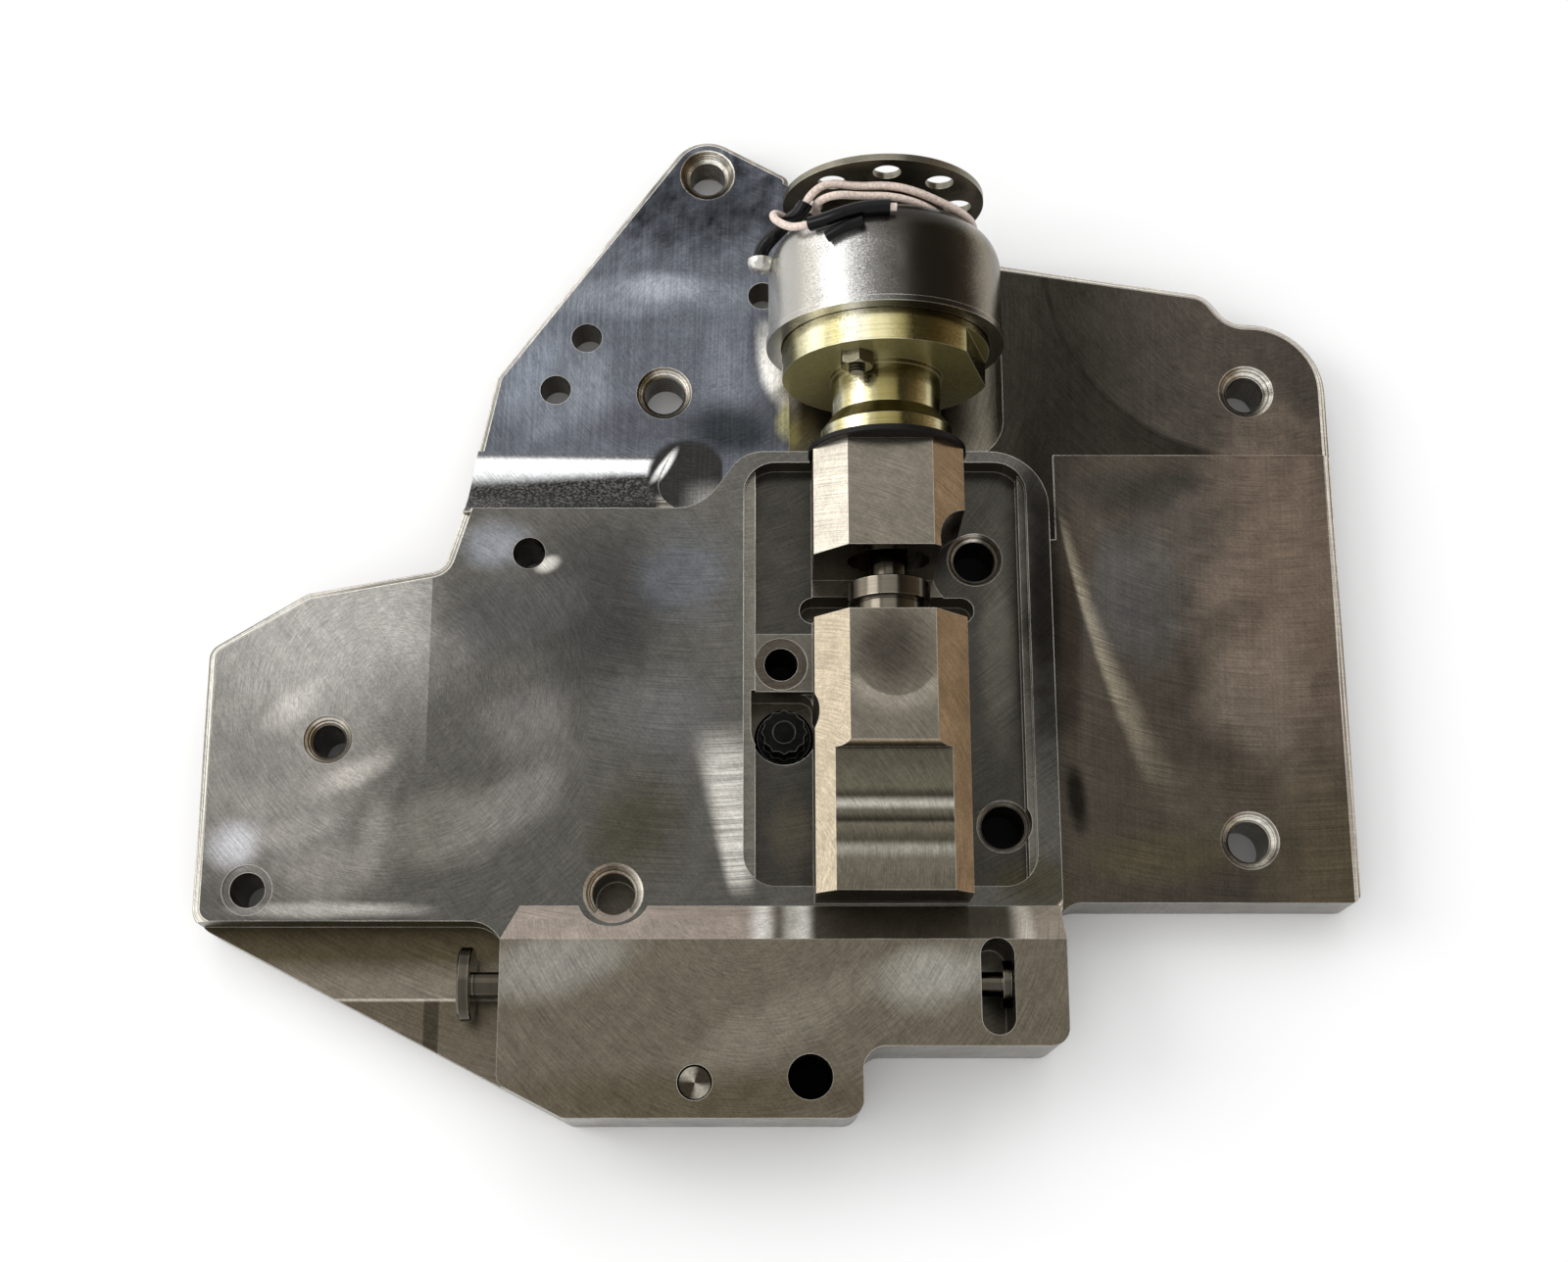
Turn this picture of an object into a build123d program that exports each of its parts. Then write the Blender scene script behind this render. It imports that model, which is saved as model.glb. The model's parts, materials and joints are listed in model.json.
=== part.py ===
from build123d import *
from math import cos, radians, sin, sqrt, tan
import os

os.makedirs("parts", exist_ok=True)

# Valve body plate with a solenoid valve, in millimetres.
# X and Y run along the plate, Z rises from its back face, and the origin is
# at the middle of the plate's outline on the back face.

# Levels of the machined faces above the back
upper_left_level = 11.0
upper_right_level = 15.5
right_level = 16.0
middle_level = 20.5
corner_level = 11.5
block_level = 29.5
recess_level = 14.0
ledge_level = 18.5
gap_level = 15.0
island_level = 17.0
bolt_seat_level = 6.0
relief_floor = 1.2

# Plate outline
half_width = 132.1
top_edge = 121.0
bottom_edge = -121.0
lobe_radius = 9.5
wide_chamfer = 2.0
thin_chamfer = 1.4

# Edges between the levels
plateau_edge = 38.1
ramp_top_edge = 20.4
ramp_end = -25.7
ramp_end_radius = 9.7
ramp_end_corner = (-5.1, -11.0)
ramp_end_foot = 2.5
ramp_hollow = (-1.2, -1.6)
middle_top_edge = 34.5
right_step_edge = 35.2
right_step_margin = 2.0
right_step_foot = 14.0
middle_right_edge = 63.5
middle_corner_radius = 14.0
middle_left_foot = -18.3
middle_left_shoulder = -8.4
middle_shoulder_radius = 9.0
middle_foot_radius = 11.3
corner_pocket_edge = -77.2
corner_pocket_radius = 8.0

# Raised block at the bottom
block_left = -61.5
block_right = 62.8
block_slope_start = -73.8
block_slope_end = -82.4
block_slope_trim = 3.2
block_corner_radius = 3.0
block_step_edge = -105.6
block_step_x = 17.9

# Solenoid valve axis, parallel to Y, as high as the can and its relief ask
axis_x = 25.0

# Octagonal boss that holds the valve
boss_half_width = 17.25
boss_flat_half_width = 9.65
boss_height = 13.0
boss_top_end = 29.6
boss_bottom_end = -73.3
gap_top = 4.2
gap_bottom = -10.7
scoop_start = -40.6
scoop_depth = 3.3
scoop_run_in = 0.9

# Recess round the boss
recess_left = -8.3
recess_right = 58.2
recess_top = 31.7
recess_bottom = -69.3
recess_radius = 7.5
left_ledge_width = 2.7
right_ledge_width = 1.8
groove_y = -3.0
groove_radius = 3.1
groove_level = 6.0
groove_left = 4.8
groove_right = 45.8

# Solenoid relief, open at the top edge
relief_left = 2.6
relief_right = 53.9
relief_corner_radius = 10.0
relief_left_radius = 3.0

# Island and bolt pocket in the recess
island_top_edge = -9.5
island_bottom_edge = -23.4
bolt_x = 1.1
bolt_y = -32.4
bolt_pocket_radius = 7.7
bolt_pocket_corner = 3.0

# Clearances
can_clearance = 0.8
running_clearance = 0.05
thread_clearance = 0.10
press_clearance = 0.02
seal_clearance = 0.7
shank_clearance = 0.2
coil_clearance = 0.3
pole_clearance = 0.5
wire_clearance = 0.1

# Twelve-point flange bolt
bolt_flange_radius = 6.9
bolt_flange_height = 1.8
bolt_head_height = 8.5
bolt_across_flats = 9.2
bolt_shank_radius = 3.0
bolt_tip = 0.6
bolt_dish_radius = 2.6
bolt_dish_depth = 1.0

# Push rod in the block
rod_y = -91.3
rod_z = 20.5
rod_land_radius = 5.25
rod_stem_radius = 2.75
rod_head_radius = 8.2
rod_head_thickness = 2.9
rod_head_left = -71.0
rod_left_land = (-45.0, -33.0)
rod_right_land = (20.0, 32.0)
rod_collar = (49.1, 50.9)
rod_tip = 52.0
rod_travel = 6.0
rod_end_gap = 1.5
slot_x = 47.5
slot_y = -92.7
slot_width = 7.4
slot_length = 21.1
slot_level = 9.0

# Steel plug in the block
plug_x = -18.6
plug_y = -113.4
plug_radius = 3.8
plug_length = 9.0
plug_sink = 0.8

# Solenoid, listed from the boss outwards
washer_thickness = 1.4
washer_radius = 18.3
collar_radius = 15.4
collar_length = 4.0
cone_length = 3.9
neck_radius = 12.7
neck_length = 10.1
neck_ring_radius = 13.2
neck_ring_length = 1.0
flange_radius = 24.3
flange_thickness = 6.0
flange_flat_distance = 21.6
flange_flat_angle = 16.5
lip_gap = 1.7
lip_thickness = 1.5
lip_overhang = 0.5
lip_inner_gap = 0.3
can_radius = 27.5
can_wall = 1.2
can_length = 27.3
can_shoulder = 9.0
nose_radius = 9.45
nose_length = 17.0
seat_ring_length = 2.8

# Ear that leads a wire into the can, pressed out of its side
ear_radius = 3.2
ear_bore_radius = 2.2
ear_bore_depth = 2.2
ear_overlap = 0.8
ear_angle = 168.4
ear_setback = 7.6

# End disc behind the can
disc_gap = 9.4
disc_radius = 24.0
disc_thickness = 1.6
disc_hole_radius = 3.3
disc_hole_circle = 17.8
disc_hole_count = 8

# Fixed core and coil inside the can
end_stem_radius = 4.0
end_stem_reach = 1.2
core_plate_radius = 18.0
core_plate_thickness = 3.0
bobbin_wall = 1.2

# Moving parts of the valve
plunger_radius = 4.4
armature_radius = 8.0
armature_length = 11.0
spool_land_radius = 7.85
spool_collar_radius = 9.4
spool_collar_back = -1.6
spool_collar_thickness = 4.8
spool_stem_radius = 4.5
spool_front_land_end = -24.0
spool_end_land = (-46.0, -36.0)
spool_travel = 3.5
spool_bore_end = -60.0
spring_radius = 5.6
spring_wire_width = 1.2
spring_turns = 5

# Stud and nut on the flange
stud_radius = 1.9
stud_circle = 16.8
stud_angle = 116.0
stud_length = 12.0
stud_reach = 4.6
nut_across_flats = 7.0
nut_height = 3.2
nut_chamfer = 0.5

# Leads of the coil
wire_radius = 0.95
wire_seat = 0.8
sleeve_radius = 1.75
lead_sides = 10
sleeve_lift = 0.1
cover_radius = 1.35
long_lead_exit = (126, 11.0)
short_lead_exit = (60, 12.0)
short_lead_start = (-64, 11.4)
loop_exit = (-84.5, 11.9)

lip_radius = can_radius + lip_overhang
lip_inner_radius = flange_radius + lip_inner_gap
axis_z = relief_floor + can_clearance + lip_radius

valve_axis = Axis((axis_x, 0, axis_z), (0, 1, 0))
valve_plane = Plane(origin=(axis_x, 0, axis_z), x_dir=(0, 1, 0), z_dir=(1, 0, 0))
boss_profile_plane = Plane(origin=(axis_x, boss_top_end, axis_z), x_dir=(1, 0, 0), z_dir=(0, -1, 0))
rod_axis = Axis((0, rod_y, rod_z), (1, 0, 0))
rod_plane = Plane(origin=(0, rod_y, rod_z), x_dir=(1, 0, 0), z_dir=(0, -1, 0))

boss_top = axis_z + boss_height
boss_side = boss_top - (boss_half_width - boss_flat_half_width)
spool_bore_radius = spool_land_radius + running_clearance
nose_bore_radius = nose_radius + thread_clearance
rod_bore_radius = rod_land_radius + running_clearance
rod_bore_end = rod_tip + rod_travel + rod_end_gap

# Stations along the valve axis, from the boss outwards
washer_end = boss_top_end + washer_thickness
collar_end = washer_end + collar_length
cone_end = collar_end + cone_length
flange_start = cone_end + neck_length
flange_end = flange_start + flange_thickness
lip_start = flange_end + lip_gap
lip_end = lip_start + lip_thickness
seat_end = lip_end + seat_ring_length
can_end = lip_start + can_length
disc_start = can_end + disc_gap
can_inner_end = can_end - can_wall
can_inner_radius = can_radius - can_wall
armature_start = seat_end + spool_travel + pole_clearance
armature_end = armature_start + armature_length

# The coil fills the can as far as its rounded shoulder allows
bobbin_end = can_inner_end - core_plate_thickness
bobbin_bore_radius = armature_radius + thread_clearance
winding_inner_radius = bobbin_bore_radius + bobbin_wall
inner_shoulder = can_shoulder - can_wall
shoulder_reach = sqrt(inner_shoulder**2 - (inner_shoulder - core_plate_thickness) ** 2)
rear_flange_radius = can_radius - can_shoulder + shoulder_reach - coil_clearance

# The ear stands on the can's side, with its mouth towards the can's end
ear_circle = can_radius + ear_radius - ear_overlap
ear_x = axis_x + ear_circle * cos(radians(ear_angle))
ear_z = axis_z + ear_circle * sin(radians(ear_angle))
ear_mouth = can_end - ear_setback

# Seen from the boss: X to the right and Z up
flange_plane = Plane(origin=(axis_x, flange_start, axis_z), x_dir=(1, 0, 0), z_dir=(0, -1, 0))

# Plain holes through the plate: centre and radius
plain_holes = [
    ((-46.9, 67.5), 3.75),
    ((-54.2, 53.9), 3.75),
    ((-3.9, 78.7), 3.5),
    ((-58.5, 9.2), 3.8),
    ((6.4, -112.2), 4.9),
]

# Holes with a chamfered rim: centre, level, bore radius and rim radius
rimmed_holes = [
    ((-17.6, top_edge - 9.5), upper_left_level, 4.4, 6.8),
    ((-27.8, 53.1), upper_left_level, 4.75, 6.7),
    ((half_width - 19.4, 51.6), upper_right_level, 4.5, 6.6),
    ((half_width - 24.9, -58.1), right_level, 4.7, 6.7),
    ((-half_width + 28.8, -35.5), middle_level, 3.8, 5.6),
    ((51.3, -54.5), recess_level, 4.95, 6.1),
]

# Holes that need more than a rim
corner_hole = (-half_width + 12.4, -70.2)
corner_hole_radius = 4.0
corner_spot_radius = 5.7
blind_hole = (-37.4, -70.8)
blind_hole_radius = 4.75
blind_rim_radius = 6.75
blind_spot_radius = 8.35
blind_hole_depth = 14.0
relieved_hole = (46.3, 9.6)
relieved_hole_radius = 4.9
relieved_rim_radius = 6.5
relief_cut = (44.9, 6.3)
relief_cut_radius = 8.8
island_hole = (0.4, -16.8)
island_hole_radius = 3.9
island_spot_radius = 6.15
spot_depth = 0.5

# Outline seen from above, corner by corner, each with its radius
outline_corners = [
    ((-20.4, top_edge + 2.9), lobe_radius),
    ((relief_left, top_edge - 9.9), 2.5),
    ((relief_left, top_edge - 12.5), 0),
    ((45.0, top_edge - 34.0), 0),
    ((half_width - 27.8, top_edge - 43.5), 7),
    ((half_width - 22.1, top_edge - 51.1), 7),
    ((half_width, top_edge - 51.1), 18),
    ((half_width, -72.4), 3),
    ((block_right, -72.4), 5.5),
    ((block_right, block_step_edge), 4),
    ((block_step_x, block_step_edge), 5),
    ((block_step_x, bottom_edge), 4),
    ((-47.0, bottom_edge), 3),
    ((-half_width, -77.2), 5),
    ((-half_width, -13.8), 4),
    ((-half_width + 22.0, -0.2), 3),
    ((-78.6, 5.7), 4),
    ((-74.1, 20.6), 8),
    ((-72.9, 36.0), 10),
    ((-68.7, 57.3), 3),
]
outline_points = [point for point, radius in outline_corners]
outline_radii = [radius for point, radius in outline_corners]
far = 2 * half_width

with BuildSketch() as outline:
    with BuildLine():
        FilletPolyline(*outline_points, radius=outline_radii, close=True)
    make_face()

# Each level is its own stock: the outline, chamfered, kept where the level is
with BuildPart() as upper_left_stock:
    add(outline.sketch)
    extrude(amount=upper_left_level)
    rim = upper_left_stock.faces().sort_by(Axis.Z)[-1].edges()
    rim = rim.filter_by(lambda edge: edge.center().X < relief_left)
    chamfer(rim.filter_by(lambda edge: edge.center().Y > plateau_edge), thin_chamfer)
    with BuildSketch():
        with Locations((axis_x, ramp_top_edge)):
            Rectangle(far, far, align=(Align.MAX, Align.MIN))
    extrude(amount=upper_left_level, mode=Mode.INTERSECT)

with BuildPart() as upper_right_stock:
    add(outline.sketch)
    extrude(amount=upper_right_level)
    rim = upper_right_stock.faces().sort_by(Axis.Z)[-1].edges()
    rim = rim.filter_by(lambda edge: edge.center().X > relief_right)
    chamfer(rim.filter_by(lambda edge: edge.center().Y > 0), wide_chamfer)
    with BuildSketch():
        with Locations((axis_x, 0)):
            Rectangle(far, far, align=(Align.MIN, Align.MIN))
    extrude(amount=upper_right_level, mode=Mode.INTERSECT)

with BuildPart() as right_stock:
    add(outline.sketch)
    extrude(amount=right_level)
    with BuildSketch():
        with Locations((middle_right_edge - right_step_margin, right_step_edge)):
            Rectangle(far, far, align=(Align.MIN, Align.MAX))
        with Locations((middle_right_edge + right_step_margin, right_step_foot)):
            Rectangle(far, far, align=(Align.MAX, Align.MIN), mode=Mode.SUBTRACT)
    extrude(amount=right_level, mode=Mode.INTERSECT)
    with BuildSketch(Plane.XZ):
        with BuildLine():
            Polyline(
                (half_width - wide_chamfer, right_level),
                (half_width, right_level - wide_chamfer),
                (half_width, right_level),
                close=True,
            )
        make_face()
    extrude(amount=far, both=True, mode=Mode.SUBTRACT)

with BuildPart() as corner_stock:
    add(outline.sketch)
    extrude(amount=corner_level)
    with BuildSketch():
        with Locations((block_left + 2, corner_pocket_edge + 2)):
            Rectangle(far, far, align=(Align.MAX, Align.MAX))
    extrude(amount=corner_level, mode=Mode.INTERSECT)

with BuildPart() as middle_stock:
    add(outline.sketch)
    extrude(amount=middle_level)
    rim = middle_stock.faces().sort_by(Axis.Z)[-1].edges()
    rim = rim.filter_by(lambda edge: edge.center().X < block_left)
    chamfer(rim.filter_by(lambda edge: bottom_edge / 2 < edge.center().Y < plateau_edge), wide_chamfer)
    middle_corners = [
        ((-far, ramp_top_edge), 0),
        ((middle_left_foot, ramp_top_edge), middle_foot_radius),
        ((middle_left_shoulder, middle_top_edge), middle_shoulder_radius),
        ((middle_right_edge, middle_top_edge), middle_corner_radius),
        ((middle_right_edge, 2 * bottom_edge), 0),
        ((block_left, 2 * bottom_edge), 0),
        ((block_left, corner_pocket_edge), corner_pocket_radius),
        ((-far, corner_pocket_edge), 0),
    ]
    with BuildSketch():
        with BuildLine():
            FilletPolyline(
                *[point for point, radius in middle_corners],
                radius=[radius for point, radius in middle_corners],
                close=True,
            )
        make_face()
    extrude(amount=middle_level, mode=Mode.INTERSECT)

with BuildPart() as block_stock:
    add(outline.sketch)
    extrude(amount=block_level)
    with BuildSketch(Plane.YZ.offset(block_left)):
        with BuildLine():
            Polyline(
                (block_slope_start, 0),
                (block_slope_start, middle_level),
                (block_slope_end, block_level),
                (2 * bottom_edge, block_level),
                (2 * bottom_edge, 0),
                close=True,
            )
        make_face()
    extrude(amount=block_right - block_left, mode=Mode.INTERSECT)
    with BuildSketch():
        with BuildLine():
            Polyline(
                (block_left, block_slope_end),
                (block_left + block_slope_trim, block_slope_start),
                (block_right, block_slope_start),
                (block_right, 2 * bottom_edge),
                (block_left, 2 * bottom_edge),
                close=True,
            )
        make_face()
    extrude(amount=block_level, mode=Mode.INTERSECT)
    uprights = block_stock.edges().filter_by(Axis.Z).sort_by(Axis.X)
    fillet(uprights.filter_by(lambda edge: edge.center().Y < rod_y)[0], block_corner_radius)

# Ramp between the upper left level and the middle level, hollow like the
# large cutter that made it, with a round end where a smaller one went down
with BuildPart() as ramp_stock:
    add(outline.sketch)
    extrude(amount=middle_level)
    with BuildSketch(Plane.YZ.offset(-far)):
        with BuildLine():
            ramp_foot = (plateau_edge, upper_left_level)
            ramp_head = (ramp_top_edge - 1, middle_level)
            middle = ((plateau_edge + ramp_top_edge) / 2, (upper_left_level + middle_level) / 2)
            ramp_sag = (middle[0] + ramp_hollow[0], middle[1] + ramp_hollow[1])
            ThreePointArc(ramp_foot, ramp_sag, ramp_head)
            Polyline(ramp_head, (ramp_top_edge - 1, 0), (plateau_edge, 0), ramp_foot)
        make_face()
    extrude(amount=far, mode=Mode.INTERSECT)
    with BuildSketch():
        with BuildLine():
            FilletPolyline(
                (-far, plateau_edge),
                (ramp_end, plateau_edge),
                (ramp_end + ramp_end_corner[0], plateau_edge + ramp_end_corner[1]),
                (ramp_end + ramp_end_foot, ramp_top_edge - 1),
                (-far, ramp_top_edge - 1),
                radius=[0, ramp_end_radius, 0],
            )
            Line((-far, ramp_top_edge - 1), (-far, plateau_edge))
        make_face()
    extrude(amount=middle_level, mode=Mode.INTERSECT)

with BuildPart() as base_plate:
    add(outline.sketch)
    extrude(amount=relief_floor)
    add(upper_left_stock.part)
    add(upper_right_stock.part)
    add(right_stock.part)
    add(corner_stock.part)
    add(middle_stock.part)
    add(block_stock.part)
    add(ramp_stock.part)

    # Recess with a ledge along its two long sides
    with BuildSketch(Plane.XY.offset(ledge_level)):
        with Locations((recess_left, recess_bottom)):
            RectangleRounded(
                recess_right - recess_left,
                recess_top - recess_bottom,
                recess_radius,
                align=(Align.MIN, Align.MIN),
            )
    extrude(amount=block_level, mode=Mode.SUBTRACT)
    with BuildSketch(Plane.XY.offset(recess_level)):
        with Locations((recess_left, recess_bottom)):
            RectangleRounded(
                recess_right - recess_left,
                recess_top - recess_bottom,
                recess_radius,
                align=(Align.MIN, Align.MIN),
            )
        with Locations((recess_left + left_ledge_width, recess_bottom)):
            Rectangle(
                recess_right - recess_left - left_ledge_width - right_ledge_width,
                recess_top - recess_bottom,
                align=(Align.MIN, Align.MIN),
                mode=Mode.INTERSECT,
            )
    extrude(amount=block_level, mode=Mode.SUBTRACT)

    # Relief under the solenoid, open at the top edge
    with BuildSketch(Plane.XY.offset(relief_floor)):
        with BuildLine():
            FilletPolyline(
                (relief_left, far),
                (relief_left, middle_top_edge),
                (relief_right, middle_top_edge),
                (relief_right, far),
                radius=[relief_left_radius, relief_corner_radius],
            )
            Line((relief_left, far), (relief_right, far))
        make_face()
    extrude(amount=block_level, mode=Mode.SUBTRACT)

    # Octagonal boss, then the gap that parts it in two
    with BuildSketch(boss_profile_plane):
        with BuildLine():
            Polyline(
                (-boss_half_width, recess_level - 2 - axis_z),
                (-boss_half_width, boss_side - axis_z),
                (-boss_flat_half_width, boss_height),
                (boss_flat_half_width, boss_height),
                (boss_half_width, boss_side - axis_z),
                (boss_half_width, recess_level - 2 - axis_z),
                close=True,
            )
        make_face()
    extrude(amount=boss_top_end - boss_bottom_end)
    with BuildSketch(Plane.XY.offset(gap_level)):
        with Locations((axis_x, gap_bottom)):
            Rectangle(2 * boss_half_width, gap_top - gap_bottom, align=(Align.CENTER, Align.MIN))
    extrude(amount=boss_top, mode=Mode.SUBTRACT)

    # Island beside the boss, and the pocket of the flange bolt below it
    with BuildSketch(Plane.XY.offset(recess_level - 2)):
        with Locations((recess_left, island_bottom_edge)):
            Rectangle(
                axis_x - boss_half_width - recess_left,
                island_top_edge - island_bottom_edge,
                align=(Align.MIN, Align.MIN),
            )
    extrude(amount=island_level - recess_level + 2)
    with BuildSketch(Plane.XY.offset(bolt_seat_level)):
        with Locations((bolt_x, bolt_y)):
            Circle(bolt_pocket_radius)
        with Locations((axis_x - boss_half_width, bolt_y)):
            Rectangle(
                axis_x - boss_half_width - bolt_x + bolt_pocket_radius,
                island_bottom_edge - bolt_y,
                align=(Align.MAX, Align.MIN),
            )
        pocket_corner = vertices().group_by(Axis.Y)[-1].sort_by(Axis.X)[-1]
        fillet(pocket_corner, bolt_pocket_corner)
    extrude(amount=boss_top, mode=Mode.SUBTRACT)

    # Scoop milled along the lower boss
    with BuildSketch(valve_plane.offset(-boss_half_width)):
        with BuildLine():
            scoop_floor = boss_height - scoop_depth
            run_in = (scoop_start - scoop_run_in, scoop_floor)
            Polyline((scoop_start, boss_height + 1), (scoop_start, boss_height))
            RadiusArc((scoop_start, boss_height), run_in, -scoop_depth)
            Polyline(
                run_in,
                (boss_bottom_end, scoop_floor),
                (boss_bottom_end, boss_height + 1),
                (scoop_start, boss_height + 1),
            )
        make_face()
    extrude(amount=2 * boss_half_width, mode=Mode.SUBTRACT)

    # Groove across the gap
    with BuildSketch(Plane.XY.offset(groove_level)):
        with Locations(((groove_left + groove_right) / 2, groove_y)):
            SlotOverall(groove_right - groove_left, 2 * groove_radius)
    extrude(amount=gap_level - groove_level, mode=Mode.SUBTRACT)

    # Seat for the solenoid's washer, threaded bore of its nose and spool bore
    with BuildSketch(Plane(origin=(axis_x, boss_top_end, axis_z), x_dir=(1, 0, 0), z_dir=(0, 1, 0))):
        Circle(washer_radius + seal_clearance)
    extrude(amount=middle_top_edge - boss_top_end + 1, mode=Mode.SUBTRACT)
    with BuildSketch(boss_profile_plane):
        Circle(nose_bore_radius)
    extrude(amount=boss_top_end - gap_top, mode=Mode.SUBTRACT)
    with BuildSketch(boss_profile_plane.offset(boss_top_end - gap_bottom)):
        Circle(spool_bore_radius)
    extrude(amount=gap_bottom - spool_bore_end, mode=Mode.SUBTRACT)

    # Bore of the push rod, and the slot that opens it
    with BuildSketch(Plane(origin=(block_left, rod_y, rod_z), x_dir=(0, 1, 0), z_dir=(1, 0, 0))):
        Circle(rod_bore_radius)
    extrude(amount=rod_bore_end - block_left, mode=Mode.SUBTRACT)
    with BuildSketch(Plane.XY.offset(slot_level)):
        with Locations((slot_x, slot_y)):
            SlotOverall(slot_length, slot_width, rotation=90)
    extrude(amount=block_level, mode=Mode.SUBTRACT)

    # Holes through the plate
    for centre, radius in plain_holes:
        with Locations((*centre, block_level)):
            Hole(radius)
    for centre, level, radius, rim_radius in rimmed_holes:
        with Locations((*centre, level)):
            CounterSinkHole(radius, rim_radius, counter_sink_angle=90)
    with Locations((*corner_hole, middle_level)):
        CounterBoreHole(corner_hole_radius, corner_spot_radius, spot_depth)

    # Blind hole whose spotface bites into the block's slope
    with Locations((*blind_hole, block_level)):
        Hole(blind_spot_radius, depth=block_level - middle_level)
    with Locations((*blind_hole, middle_level)):
        CounterSinkHole(blind_hole_radius, blind_rim_radius, depth=blind_hole_depth, counter_sink_angle=90)

    # Hole beside the upper boss, with the cutter's relief in the boss's corner
    with Locations((*relief_cut, boss_top)):
        Hole(relief_cut_radius, depth=boss_top - recess_level)
    with Locations((*relieved_hole, recess_level)):
        CounterSinkHole(relieved_hole_radius, relieved_rim_radius, counter_sink_angle=90)

    # Island hole, hole of the flange bolt and seat of the plug
    with Locations((*island_hole, island_level)):
        CounterBoreHole(island_hole_radius, island_spot_radius, spot_depth)
    with Locations((bolt_x, bolt_y, bolt_seat_level)):
        Hole(bolt_shank_radius + shank_clearance)
    with Locations((plug_x, plug_y, block_level)):
        Hole(plug_radius + press_clearance, depth=plug_length + plug_sink)

base_plate.part.label = "base_plate"
export_step(base_plate.part, "parts/base_plate.step")

# Twelve-point flange bolt in the pocket beside the boss
with BuildPart() as flange_bolt:
    with BuildSketch(Plane.XY.offset(bolt_seat_level)):
        with Locations((bolt_x, bolt_y)):
            Circle(bolt_flange_radius)
    extrude(amount=bolt_flange_height)
    chamfer(flange_bolt.faces().sort_by(Axis.Z)[-1].edges(), bolt_flange_height / 3)
    with BuildSketch(Plane.XY.offset(bolt_seat_level + bolt_flange_height)):
        with Locations((bolt_x, bolt_y)):
            RegularPolygon(bolt_across_flats / 2, 6, major_radius=False)
            RegularPolygon(bolt_across_flats / 2, 6, major_radius=False, rotation=30)
    extrude(amount=bolt_head_height - bolt_flange_height)
    with Locations((bolt_x, bolt_y, bolt_seat_level + bolt_head_height)):
        Hole(bolt_dish_radius, depth=bolt_dish_depth)
    with BuildSketch(Plane.XY.offset(bolt_tip)):
        with Locations((bolt_x, bolt_y)):
            Circle(bolt_shank_radius)
    extrude(amount=bolt_seat_level - bolt_tip)
    chamfer(flange_bolt.faces().sort_by(Axis.Z)[0].edges(), bolt_shank_radius / 5)

flange_bolt.part.label = "flange_bolt"
export_step(flange_bolt.part, "parts/flange_bolt.step")

# Steel plug pressed into the block
with BuildPart() as bore_plug:
    with BuildSketch(Plane.XY.offset(block_level - plug_sink)):
        with Locations((plug_x, plug_y)):
            Circle(plug_radius)
    extrude(amount=-plug_length)
    chamfer(bore_plug.edges().filter_by(GeomType.CIRCLE), plug_radius / 10)

bore_plug.part.label = "bore_plug"
export_step(bore_plug.part, "parts/bore_plug.step")

# Push rod: disc head, two lands that run in the bore and a collar in the slot
with BuildPart() as push_rod:
    with BuildSketch(rod_plane):
        with Locations((rod_head_left, 0)):
            Rectangle(rod_head_thickness, rod_head_radius, align=(Align.MIN, Align.MIN))
        with Locations((rod_head_left, 0)):
            Rectangle(rod_tip - rod_head_left, rod_stem_radius, align=(Align.MIN, Align.MIN))
        for left, right in (rod_left_land, rod_right_land, rod_collar):
            with Locations((left, 0)):
                Rectangle(right - left, rod_land_radius, align=(Align.MIN, Align.MIN))
    revolve(axis=rod_axis)
    chamfer(push_rod.faces().sort_by(Axis.X)[-1].edges(), rod_stem_radius / 5)
    head_rims = push_rod.edges().filter_by(GeomType.CIRCLE).sort_by(SortBy.RADIUS)[-2:]
    chamfer(head_rims, rod_head_thickness / 8)

push_rod.part.label = "push_rod"
export_step(push_rod.part, "parts/push_rod.step")


def tube(start, end, inner, outer):
    """Half section of a turned stretch, from one station to the next."""
    with Locations((start, inner)):
        Rectangle(end - start, outer - inner, align=(Align.MIN, Align.MIN))


# Washer that seals the solenoid's collar on the boss
with BuildPart() as seal_washer:
    with BuildSketch(valve_plane):
        tube(boss_top_end, washer_end, nose_bore_radius, washer_radius)
    revolve(axis=valve_axis)
    outer_rims = seal_washer.edges().filter_by(GeomType.CIRCLE).group_by(SortBy.RADIUS)[-1]
    chamfer(outer_rims, washer_thickness / 8)

seal_washer.part.label = "seal_washer"
export_step(seal_washer.part, "parts/seal_washer.step")

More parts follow.
